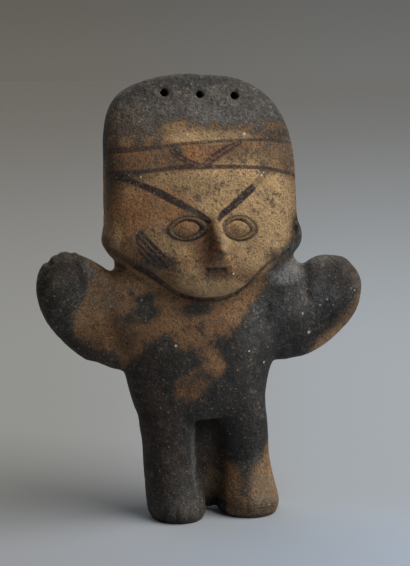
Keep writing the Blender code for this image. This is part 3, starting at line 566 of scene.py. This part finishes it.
class StudioSettings(bpy.types.PropertyGroup):
    azimuth: FloatProperty(name="Azimuth", description="The camera's turn round the figure",
                           default=math.radians(-16), subtype="ANGLE")
    elevation: FloatProperty(name="Elevation", description="The camera's height above the horizon",
                             default=math.radians(8), subtype="ANGLE")
    distance: FloatProperty(name="Distance", description="From the camera to its target", default=0.804,
                            unit="LENGTH")
    target: FloatVectorProperty(name="Target", description="The point that the camera looks at",
                                default=(0.00121, 0.00682, 0.12663), subtype="TRANSLATION")
    lens: FloatProperty(name="Lens", description="Focal length in millimetres on a 36 mm sensor",
                        default=94.05)
    key: FloatProperty(name="Key light", description="Strength of the soft light from the upper right",
                       default=3.3)
    key_azimuth: FloatProperty(name="Key azimuth", description="Where the key light stands round the figure",
                               default=math.radians(60), subtype="ANGLE")
    key_elevation: FloatProperty(name="Key elevation",
                                 description="The key light's height above the horizon",
                                 default=math.radians(48), subtype="ANGLE")
    key_spread: FloatProperty(name="Key softness",
                              description="How wide the key light looks from the figure",
                              default=math.radians(55), subtype="ANGLE")
    fill: FloatProperty(name="Fill light", description="Strength of the faint light from behind",
                        default=0.8)
    gloom: FloatProperty(name="Gloom", description="How much of the backdrop's glow reaches the figure",
                         default=0.6)
    floor: FloatVectorProperty(name="Floor", description="The pale floor under the figure",
                               default=(0.372, 0.408, 0.448), subtype="COLOR")
    # Painted shade: the floor darker on the left, away from the light
    floor_left_shade: FloatVectorProperty(name="Floor on the left",
                                    description="The floor's tint away from the light",
                                    default=(0.76, 0.70, 0.62), subtype="COLOR")
    # Painted light: the floor in front of the figure is made brighter, and darker on its left
    near: FloatVectorProperty(name="Floor in front", description="The floor's tint in front of the figure",
                              default=(1.08, 1.16, 1.28), subtype="COLOR", max=2.0)
    near_left_shade: FloatVectorProperty(name="Floor in front on the left",
                                   description="The floor's tint in front, away from the light",
                                   default=(0.80, 0.76, 0.74), subtype="COLOR")
    far: FloatVectorProperty(name="Backdrop", description="The warm grey far behind the figure",
                             default=(0.161, 0.161, 0.155), subtype="COLOR")
    # Painted shade: the backdrop darker on the left, away from the light
    far_left_shade: FloatVectorProperty(name="Backdrop on the left",
                                  description="The backdrop's tint away from the light",
                                  default=(0.93, 0.86, 0.78), subtype="COLOR")


def shell_of(node):
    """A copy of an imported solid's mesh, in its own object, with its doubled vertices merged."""
    shell = bpy.data.objects.new("figure", node.data.copy())
    bpy.context.scene.collection.objects.link(shell)
    shell.data.materials.clear()
    alone(shell)
    bpy.ops.object.mode_set(mode="EDIT")
    bpy.ops.mesh.select_all(action="SELECT")
    bpy.ops.mesh.remove_doubles(threshold=1e-6)
    bpy.ops.object.mode_set(mode="OBJECT")
    return shell


def refine(shell, clay):
    """Makes the shell fine and smooth, and finer still over the face and the holes."""
    apply(shell, "REMESH", mode="VOXEL", voxel_size=clay.voxel)
    spots, _ = places(shell.data)
    bored = np.zeros(len(spots))
    for hole_x, hole_z in HOLES:
        out = np.hypot(spots[:, 0] - hole_x, spots[:, 2] - hole_z)
        bored = np.maximum(bored, ease(*HOLE_SHARP_EDGE, out))
    soft = grouped(shell, "soft", 1 - bored)
    apply(shell, "SMOOTH", factor=0.5, iterations=clay.smoothing, vertex_group=soft)

    spots, facing = places(shell.data)
    x, y, z = spots.T
    face = (np.abs(x) < FACE_HALF_WIDTH) & (z > FACE_LOW) & (z < FACE_HIGH) & (y < FACE_FRONT)
    face &= facing[:, 1] < FACE_TURN
    for hole_x, hole_z in HOLES:
        face |= (np.hypot(x - hole_x, z - hole_z) < HOLE_FINE) & (y < HOLE_BACK)
    corners = np.zeros(len(shell.data.loops), np.int32)
    shell.data.loops.foreach_get("vertex_index", corners)
    starts = np.zeros(len(shell.data.polygons), np.int32)
    shell.data.polygons.foreach_get("loop_start", starts)
    chosen = np.minimum.reduceat(face[corners].astype(np.int32), starts) > 0
    shell.data.polygons.foreach_set("select", chosen)
    bpy.ops.object.mode_set(mode="EDIT")
    bpy.ops.mesh.select_mode(type="FACE")
    bpy.ops.mesh.subdivide(number_cuts=1, smoothness=0.6)
    bpy.ops.mesh.select_all(action="SELECT")
    bpy.ops.mesh.quads_convert_to_tris(quad_method="BEAUTY", ngon_method="BEAUTY")
    bpy.ops.object.mode_set(mode="OBJECT")
    bpy.ops.object.shade_smooth()


def front_of(spots, facing):
    """1 on what faces forward, falling to 0 round the sides."""
    return ease(*SIDE_EDGE, facing[:, 1]) * ease(*RELIEF_EDGE, spots[:, 1])


def press(shell):
    """Presses the eyes, mouth, jaw and other low relief into the shell."""
    spots, facing = places(shell.data)
    x, y, z = spots.T
    front = front_of(spots, facing)
    rise = np.zeros(len(spots))

    for ring, ball in zip(EYES, EYEBALLS):
        out, inner = oval_reach(ring, x, z), oval_reach(ball, x, z)
        rise += banked(out, EYE_BANK) - banked(out, EYE_GROOVE)
        rise -= banked(inner, BALL_GROOVE) * (out < BALL_GROOVE_END)
        rise += BALL_SWELL * np.clip(1 - inner ** 2, 0, 1)
    for middle_x, middle_z, half_width, half_height, lift in LUMPS:
        rise += lift * ridge(np.hypot((x - middle_x) / half_width, (z - middle_z) / half_height), 0, 1)

    slit = np.maximum(np.abs(x - MOUTH_X) / MOUTH_HALF_WIDTH, np.abs(z - MOUTH_Z) / MOUTH_HALF_HEIGHT)
    rise -= (MOUTH_DEPTH + MOUTH_SLANT * np.clip(z - MOUTH_Z, *MOUTH_SPAN)) * ease(*MOUTH_EDGE, slit)
    rise -= JAW_DEPTH * ease(*JAW_EDGE, stroke_margin(JAW_LINE, x, z))
    for stroke in CHEEK_STROKES:
        rise -= STROKE_DEPTH * ease(*STROKE_EDGE, stroke_margin(stroke, x, z))
    for path, depth in CREASES:
        rise -= depth * ease(CREASE_START - depth, CREASE_FULL, stroke_margin(path, x, z))
    for hole_x, hole_z in HOLES:
        out = np.hypot(x - hole_x + RIM_LEFT, z - hole_z + RIM_DOWN)
        rise -= RIM_DEPTH * ease(*RIM_EDGE, out) * (y < 0)
        rise += banked(out, LIP)
    spots += facing * (rise * front)[:, None]

    # x, y and z are views of spots, so they have risen with it, and what moves them moves it
    pinch = ease(*NOSE_FRONT_EDGE, y) * ease(*NOSE_TOP_EDGE, z) * ease(*NOSE_TIP_EDGE, z)
    pinch = pinch * ease(*NOSE_SIDE_EDGE, np.abs(x - NOSE_X))
    x += (NOSE_X - x) * NOSE_PINCH * pinch
    for pull_x, pull_y, pull_z, reach, move_x, move_z in PULLS:
        gap = np.linalg.norm((spots - (pull_x, pull_y, pull_z)) * PULL_SHAPE, axis=1)
        share = ease(1, 0, gap / reach)
        x += share * move_x
        z += share * move_z
    place(shell.data, spots)


def knead(shell, clay):
    """Gives the shell the unevenness of hand-pressed clay."""
    for name, size, depth in (("kneading", KNEADING_SIZE, clay.kneading),
                              ("pitting", PITTING_SIZE, clay.pitting)):
        lumps = bpy.data.textures.new(name, "CLOUDS")
        lumps.noise_scale = size
        lumps.noise_depth = 2
        apply(shell, "DISPLACE", texture=lumps, texture_coords="LOCAL", strength=depth, mid_level=0.5)
        bpy.data.textures.remove(lumps)
    spots, _ = places(shell.data)
    spots[:, 2] = np.clip(spots[:, 2], 0, CAD_HIGH[2] / MILLI)
    place(shell.data, spots)


def hollows(shell):
    """How sunk each vertex lies below the surface round it, in millimetres, over a few millimetres."""
    mesh = shell.data
    spots, facing = places(mesh)
    edges = np.zeros(len(mesh.edges) * 2, np.int32)
    mesh.edges.foreach_get("vertices", edges)
    edges = edges.reshape(-1, 2)
    count = np.bincount(edges.ravel(), minlength=len(spots))[:, None]
    smooth = spots.copy()
    for _ in range(HOLLOW_ROUNDS):
        total = np.zeros_like(smooth)
        for axis in range(3):
            total[:, axis] = (np.bincount(edges[:, 0], smooth[edges[:, 1], axis], len(spots))
                              + np.bincount(edges[:, 1], smooth[edges[:, 0], axis], len(spots)))
        smooth = 0.5 * smooth + 0.5 * total / count
    return ((smooth - spots) * facing).sum(1)


def painted(x, z):
    """How far inside a brushed line or a line of painted shade each point lies, in millimetres, and how dark
    that line is.
    """
    lines, brush_and_shade = np.full(len(x), -FAR_OFF), np.zeros(len(x))

    def draw(margin, strength):
        brush_and_shade[:] = np.where(margin > np.maximum(lines, -LINE_HALO), strength, brush_and_shade)
        lines[:] = np.maximum(lines, margin)

    for path, strength in LINES:
        draw(stroke_margin(path, x, z), strength)
    for ring, ball in zip(EYES, EYEBALLS):
        below = ease(ring[1] + RING_BELOW_REACH, ring[1] - RING_BELOW_REACH, z)
        off_ring = np.abs(oval_reach(ring, x, z) - RING_PLACE) * ring[3]
        off_ball = np.abs(oval_reach(ball, x, z) - BALL_PLACE) * ball[3]
        draw(RING_LINE + RING_LINE_BELOW * below - off_ring, RING_DARK)
        draw(BALL_LINE - off_ball, BALL_DARK)
    return lines, brush_and_shade


def vee_core(x, z):
    """How far inside the reddish core of the painted V each point lies, in millimetres."""
    core = np.full(len(x), -FAR_OFF)
    for path in (VEE_LEFT, VEE_RIGHT):
        thin = [(step_x, step_z, VEE_CORE * width) for step_x, step_z, width in path]
        core = np.maximum(core, stroke_margin(thin, x, z))
    return core


def ringed(x, z):
    """1 between the two outlines of an eye, and 0 away from it."""
    between = np.zeros(len(x))
    for ring, ball in zip(EYES, EYEBALLS):
        outer = ease(*RINGED_OUTER_EDGE, oval_reach(ring, x, z))
        between = np.maximum(between, outer * ease(*RINGED_INNER_EDGE, oval_reach(ball, x, z)))
    return between


def sooted(x, z):
    """How far inside the front's blackened patches each point lies, in millimetres."""
    soot = np.maximum.reduce([crisp * patch_margin(patch, x, z) for patch, crisp in SOOT_PATCHES])
    for spot_x, spot_z, half_width, half_height, black in SOOT_SPOTS:
        out = np.hypot((x - spot_x) / half_width, (z - spot_z) / half_height)
        soot = np.maximum(soot, (1 - out) * min(half_width, half_height) + black - 1)
    return soot


def mark(shell):
    """Writes on the shell where the lines, the soot, the other tones of the clay and the painted shade lie.
    """
    mesh = shell.data
    spots, _ = places(mesh)
    x, y, z = spots.T
    back = ease(*BACK_EDGE, y)
    front = 1 - back
    lines, brush_and_shade = painted(x, z)
    behind = np.maximum.reduce([patch_margin(patch, x, z) for patch in (BACK_CLOUD, BACK_WAIST, BACK_LEG)])
    web = patch_margin(INNER_LEG, x, z) * ease(*WEB_FRONT_EDGE, y)
    arch = ease(*ARCH_EDGE, z) * ease(*WEB_SIDE_EDGE, web)
    tone = {
        "lines": np.clip(lines, -LINE_SPAN, LINE_SPAN) - LINE_SPAN * back,
        "brush_and_shade": brush_and_shade,
        "core": np.clip(vee_core(x, z), -LINE_SPAN, LINE_SPAN) - LINE_SPAN * back,
        "soot": near_edge(sooted(x, z)) * front + near_edge(behind) * back,
        "hand": near_edge(patch_margin(LEFT_HAND, x, z)),
        # The web's recess between the legs, darkened partly as painted shade
        "web": near_edge(web),
        # Painted shade in the arch between the legs and round the soles
        "low_shade": np.maximum(arch, SOLE_SHADE * ease(*SOLE_EDGE, z)),
        "stain": spread_of(STAIN, x, z) * front,
        "umber": spread_of(UMBER, x, z) * front,
        "dapple": spread_of(DAPPLE, x, z) * front,
        "warm": spread_of(WARM, x, z) * front + spread_of(BACK_WARM, x, z) * back,
        "pale": spread_of(PALE, x, z) * front + spread_of(BACK_PALE, x, z) * back,
        # Darker clay, with painted shade under the left arm, down the head's left edge, beside the nose, in
        # the mouth and round the feet
        "dim_and_shade": (spread_of(DIM_AND_SHADE, x, z) + RINGED_DIM * ringed(x, z)) * front,
        "bloom": spread_of(BLOOM, x, z) * front + spread_of(BACK_BLOOM, x, z) * back,
        # How sunk each place lies, which sets the painted shade in the hollows
        "hollow": hollows(shell),
    }
    for name, values in tone.items():
        mesh.attributes.new(name, "FLOAT", "POINT").data.foreach_set("value", values.astype(np.float32))


def bare_clay(start, clouds, clay):
    """Ochre clay with buff and russet parts and a painted highlight on the nose, darker in places and with
    painted shade, and spotted with dark stains and gold.
    """
    broad, lumpy, fine, speck = clouds
    pale = (start.written("pale") + 0.14 * broad + 0.14 * lumpy + 0.10 * fine).step(0.0, 1.0)
    warm = (start.written("warm") + 0.16 * broad - 0.16 * lumpy + 0.08 * fine).step(0.12, 1.0)
    dim_and_shade = start.written("dim_and_shade") + 0.06 * lumpy + 0.05 * broad
    stain = (lumpy * 0.85 + fine * 0.80 + speck * 0.35 + start.written("stain") * 0.66).step(0.76, 1.08)
    golden = (fine * 0.8 - lumpy * 0.35 - broad * 0.2).step(0.35, 1.4)
    colour = mixed(pale, clay.ochre, clay.buff).tint(clay.russet, warm * 0.60).bright(1.0 - dim_and_shade)
    return colour.tint(STAINED, stain * 0.78).tint(GOLDEN, golden * 0.26)


def charred(start, clouds, clay):
    """Blackened clay, grey with bloom on top and brown and tan in places."""
    broad, lumpy, fine, _ = clouds
    bloom = start.written("bloom") + 0.05 * lumpy + 0.06 * fine + 0.03 * broad
    umber = (start.written("umber") + 0.25 * lumpy + 0.2 * fine).step(0.2, 1.1)
    tan = (start.written("pale") + 0.20 * lumpy + 0.14 * fine).step(0.05, 1.2)
    hand = (start.written("hand") + 1.2 * lumpy).step(-2.0, 3.0)
    rusty = (lumpy * 0.6 + fine * 0.3).step(-0.6, 0.9)
    brown = (broad * 0.5 + lumpy * 0.5 + fine * 0.2).step(0.05, 0.85)
    char = mixed(bloom.step(-0.15, 1.25), clay.soot, clay.ash)
    char = char.tint(UMBER_SOOT, umber * 0.75).tint(TAN_SOOT, tan * 0.55)
    return char.tint(HAND_SOOT, hand * rusty * 0.85).tint(BROWN_SOOT, brown * 0.45)


def shaded_below(colour, start, clouds):
    """The colour with the dark web between the legs, partly painted shade in its recess, and painted shade in
    its arch and round the soles.
    """
    _, lumpy, fine, _ = clouds
    inner = (start.written("web") + 0.9 * lumpy + 0.6 * fine).step(-0.8, 2.2)
    low_shade = (start.written("low_shade") + 0.08 * lumpy).step(0.1, 0.9)
    web = mixed(start.written("pale").step(0.0, 1.0), WEB_DARK, WEB_LIGHT)
    return colour.tint(web, inner * 0.90).tint(UNDER_SHADE, low_shade * 0.80)


def brushed(colour, start, clouds, clay):
    """The colour with the worn painted lines, and the painted shade beside the nose and in the jaw's crease
    that is drawn with them.
    """
    _, lumpy, fine, speck = clouds
    lines = start.written("lines") + 0.34 * fine + 0.24 * lumpy + 0.20 * speck
    paint = mixed((lumpy + 0.4 * fine).step(-0.1, 0.9) * 0.6, clay.paint, PAINT_WORN)
    kept = 0.38 + 0.60 * (fine * 0.7 + speck * 0.4 + lumpy * 0.5).step(1.3, 0.1)
    core = (start.written("core") + 0.3 * fine).step(-0.30, 0.30)
    colour = colour.tint(paint, lines.step(-0.50, 0.25) * kept * start.written("brush_and_shade"))
    return colour.tint(PAINT_CORE, core * 0.55)


def weathered(colour, black, start, clouds):
    """The colour with pale dapples, painted shade in the hollows, paler ridges, dust, pits and uneven
    brightness.
    """
    broad, lumpy, fine, speck = clouds
    dapple = (start.written("dapple") * 0.8 + fine * 0.3 + speck * 0.5 + lumpy * 0.45).step(0.35, 1.45)
    hollow = start.written("hollow")
    dust = (speck * 0.7 + fine * 0.65 + lumpy * 0.2).step(0.65, 1.45)
    pits = (speck * 0.8 - fine * 0.45).step(-0.55, -1.15)
    colour = colour.tint(DAPPLED, dapple * (0.60 - 0.40 * black))
    # Painted shade darkens the hollows, and the ridges are made a little paler
    colour = colour.tint(HOLLOW_SHADE, hollow.step(0.04, 0.42) * 0.70)
    colour = colour.tint(RIDGE_PALE, hollow.step(-0.06, -0.32) * 0.10)
    colour = colour.tint(DUSTED, dust * 0.42).tint(PITTED, pits * 0.65)
    return colour.bright((1.0 + 0.38 * fine + 0.26 * speck + 0.26 * lumpy + 0.12 * broad).most(0.25))


def gritty(colour, spot, fine, clay):
    """The colour with small chalky grains all over and the larger grains of grit in their places."""
    grains, cell = (spot.make("ShaderNodeTexVoronoi", {"feature": "F1"},
                              {"Vector": spot, "Scale": CHALK_SCALE, "Randomness": 1.0}, output)
                    for output in ("Distance", "Color"))
    pick = cell.make("ShaderNodeSeparateColor", {}, {0: cell}, 0)
    chalk = grains.step(0.14, 0.07) * pick.step(0.80, 0.93)
    near = None
    for x, y, z, radius in GRIT:
        away = spot.make("ShaderNodeVectorMath", {"operation": "DISTANCE"}, {0: spot, 1: (x, y, z)}, 1)
        gap = away - radius
        near = gap if near is None else near.least(gap)
    grit = (near + 0.15 + fine * 0.15).step(0.22, -0.22)
    return colour.tint(CHALKED, chalk * 0.60).tint(clay.grit, grit * 0.80)


def fired_clay(clay):
    """Matt fired clay: buff to russet, blackened in clouds, with dark brushed lines, grey bloom and grit."""
    material = bpy.data.materials.new("fired_clay")
    material.use_nodes = True
    tree = material.node_tree
    shader = tree.nodes["Principled BSDF"]
    start = Reading(tree, None)
    spot = start.make("ShaderNodeTexCoord", {}, {}, "Object")
    spot = spot.make("ShaderNodeVectorMath", {"operation": "SCALE"}, {0: spot, "Scale": 1 / MILLI})
    clouds = [spot.cloud(*cloud) for cloud in CLOUDS]
    broad, lumpy, fine, speck = clouds

    edge = start.written("soot") + 2.1 * lumpy + 0.8 * fine + 1.4 * broad
    smoke, black = edge.step(-4.6, 1.0), edge.step(-1.6, 1.7)
    dusted = (start.written("bloom") * 0.6 + 0.30 * lumpy + 0.35 * fine).step(0.25, 0.95)
    colour = bare_clay(start, clouds, clay).tint(clay.smoke, smoke * 0.62)
    colour = colour.tint(charred(start, clouds, clay), black * 0.96).tint(clay.ash, dusted * black * 0.35)
    colour = shaded_below(colour, start, clouds)
    colour = brushed(colour, start, clouds, clay)
    colour = weathered(colour, black, start, clouds)
    colour = gritty(colour, spot, fine, clay)
    tree.links.new(colour.socket, shader.inputs["Base Color"])

    rough = 0.82 + 0.05 * fine - 0.10 * black
    tree.links.new(rough.socket, shader.inputs["Roughness"])
    shader.inputs["Specular IOR Level"].default_value = 0.30
    height = lumpy * 0.35 + fine * 0.45 + speck * 0.30
    bump = start.make("ShaderNodeBump", {}, {"Strength": 0.8, "Distance": 0.00030, "Height": height})
    tree.links.new(bump.socket, shader.inputs["Normal"])
    return material


class STATUETTE_OT_figure(bpy.types.Operator):
    """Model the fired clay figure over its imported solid"""

    bl_idname = "statuette.figure"
    bl_label = "Clay figure"

    def execute(self, context):
        clay = context.scene.statuette_clay
        shell = shell_of(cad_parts[NODE])
        refine(shell, clay)
        press(shell)
        knead(shell, clay)
        mark(shell)
        shell.data.materials.append(fired_clay(clay))
        shell.vertex_groups.clear()
        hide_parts("statuette")
        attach(shell, "root")
        return {"FINISHED"}


def toward(azimuth, elevation):
    """The direction from the figure at this azimuth and elevation; azimuth 0 is straight in front."""
    return Vector((math.sin(azimuth) * math.cos(elevation), -math.cos(azimuth) * math.cos(elevation),
                   math.sin(elevation)))


def to_left(spot, share, studio):
    """How far to the left of the view a place or direction lies: 0 at its right edge, 1 at its left."""
    right = (math.cos(studio.azimuth), math.sin(studio.azimuth), 0.0)
    side = spot.make("ShaderNodeVectorMath", {"operation": "DOT_PRODUCT"}, {0: spot, 1: right}, 1)
    return (0.5 - side * share).step(0.0, 1.0)


def floor_paper(studio):
    """Pale matt paper with painted light: it turns to warm grey far from the figure and dims away from the
    light, both painted shade, and is painted brighter in front of the figure.
    """
    material = bpy.data.materials.new("floor_paper")
    material.use_nodes = True
    tree = material.node_tree
    start = Reading(tree, None)
    spot = start.make("ShaderNodeTexCoord", {}, {}, "Object")
    away = spot.make("ShaderNodeVectorMath", {"operation": "LENGTH"}, {0: spot}, 1)
    distance = (1.0 - away.sum("DIVIDE", 1.0, away + 1.0)).step(*FAR_EDGE)
    left = to_left(spot, away.sum("DIVIDE", VIEW_SPREAD, away + studio.distance), studio)
    tone = mixed(distance, studio.floor, [FAR_FLOOR * far for far in studio.far])
    shade = mixed(left, (1.0, 1.0, 1.0), mixed(distance, studio.floor_left_shade, studio.far_left_shade))
    ahead = spot.make("ShaderNodeVectorMath", {"operation": "DOT_PRODUCT"},
                      {0: spot, 1: toward(studio.azimuth, 0.0)}, 1)
    shade = mixed(ahead.step(*AHEAD_EDGE), shade, mixed(left, studio.near, studio.near_left_shade))
    tone = tone.shaded(shade)
    grain = spot.make("ShaderNodeTexNoise", {}, {"Vector": spot, "Scale": 900.0, "Detail": 2.0})
    shader = tree.nodes["Principled BSDF"]
    tree.links.new(tone.socket, shader.inputs["Base Color"])
    shader.inputs["Roughness"].default_value = 0.9
    shader.inputs["Specular IOR Level"].default_value = 0.1
    bump = start.make("ShaderNodeBump", {}, {"Strength": 0.08, "Distance": 0.0002, "Height": grain})
    tree.links.new(bump.socket, shader.inputs["Normal"])
    return material


def studio_air(studio):
    """The glow behind the figure, with painted shade darker high up and away from the light: as the camera
    sees it, and the fainter part that lights the figure.
    """
    world = bpy.data.worlds.new("studio")
    world.use_nodes = True
    start = Reading(world.node_tree, None)
    spot = start.make("ShaderNodeTexCoord", {}, {}, "Object")
    height = spot.make("ShaderNodeSeparateXYZ", {}, {0: spot}, 2)
    left = to_left(spot, VIEW_SPREAD, studio)
    tone = mixed(height.step(*HIGH_EDGE), studio.far, [HIGH_AIR * far for far in studio.far])
    shade = mixed(left, (1.0, 1.0, 1.0), studio.far_left_shade)
    tone = tone.shaded(shade)
    seen = start.make("ShaderNodeLightPath", {}, {}, "Is Camera Ray")
    glow = seen + studio.gloom * (1 - seen)
    backdrop = world.node_tree.nodes["Background"]
    world.node_tree.links.new(tone.socket, backdrop.inputs["Color"])
    world.node_tree.links.new(glow.socket, backdrop.inputs["Strength"])
    return world


class STATUETTE_OT_stage(bpy.types.Operator):
    """Lay the pale floor and set the soft light and the camera"""

    bl_idname = "statuette.stage"
    bl_label = "Floor, light and camera"

    def execute(self, context):
        studio = context.scene.statuette_studio
        bpy.ops.mesh.primitive_circle_add(vertices=FLOOR_SIDES, radius=FLOOR_RADIUS, fill_type="NGON")
        floor = context.object
        floor.name = floor.data.name = "floor"
        floor.data.materials.append(floor_paper(studio))

        context.scene.world = studio_air(studio)
        lamps = (("key", studio.key, studio.key_azimuth, studio.key_elevation, studio.key_spread,
                  KEY_COLOUR),
                 ("fill", studio.fill, FILL_AZIMUTH, FILL_ELEVATION, FILL_SPREAD, FILL_COLOUR))
        for name, strength, azimuth, elevation, spread, colour in lamps:
            bpy.ops.object.light_add(type="SUN", location=toward(azimuth, elevation) * 2)
            lamp = context.object
            lamp.name = lamp.data.name = name
            lamp.rotation_euler = toward(azimuth, elevation).to_track_quat("Z", "Y").to_euler()
            lamp.data.energy, lamp.data.angle, lamp.data.color = strength, spread, colour

        back = toward(studio.azimuth, studio.elevation)
        bpy.ops.object.camera_add(location=Vector(studio.target) + back * studio.distance,
                                  rotation=(-back).to_track_quat("-Z", "Y").to_euler())
        camera = context.object
        camera.data.lens = studio.lens
        camera.data.clip_end = FARTHEST_SEEN
        camera.data.dof.use_dof = False
        context.scene.camera = camera
        context.scene.view_settings.view_transform = "Standard"
        return {"FINISHED"}


class STATUETTE_PT_panel(bpy.types.Panel):
    """Lists the pieces of the statuette and their settings"""

    bl_idname = "STATUETTE_PT_panel"
    bl_label = "Statuette"
    bl_space_type = "VIEW_3D"
    bl_region_type = "UI"
    bl_category = "Statuette"

    def draw(self, context):
        for operator, settings in ((STATUETTE_OT_figure, context.scene.statuette_clay),
                                   (STATUETTE_OT_stage, context.scene.statuette_studio)):
            box = self.layout.box()
            box.operator(operator.bl_idname)
            for name in settings.__annotations__:
                box.prop(settings, name)


CLASSES = (ClaySettings, StudioSettings, STATUETTE_OT_figure, STATUETTE_OT_stage, STATUETTE_PT_panel)


def register():
    for made in CLASSES:
        bpy.utils.register_class(made)
    bpy.types.Scene.statuette_clay = PointerProperty(type=ClaySettings)
    bpy.types.Scene.statuette_studio = PointerProperty(type=StudioSettings)


def unregister():
    del bpy.types.Scene.statuette_clay
    del bpy.types.Scene.statuette_studio
    for made in reversed(CLASSES):
        bpy.utils.unregister_class(made)


def main():
    register()
    bpy.ops.statuette.figure()
    bpy.ops.statuette.stage()


if __name__ == "__main__":
    main()
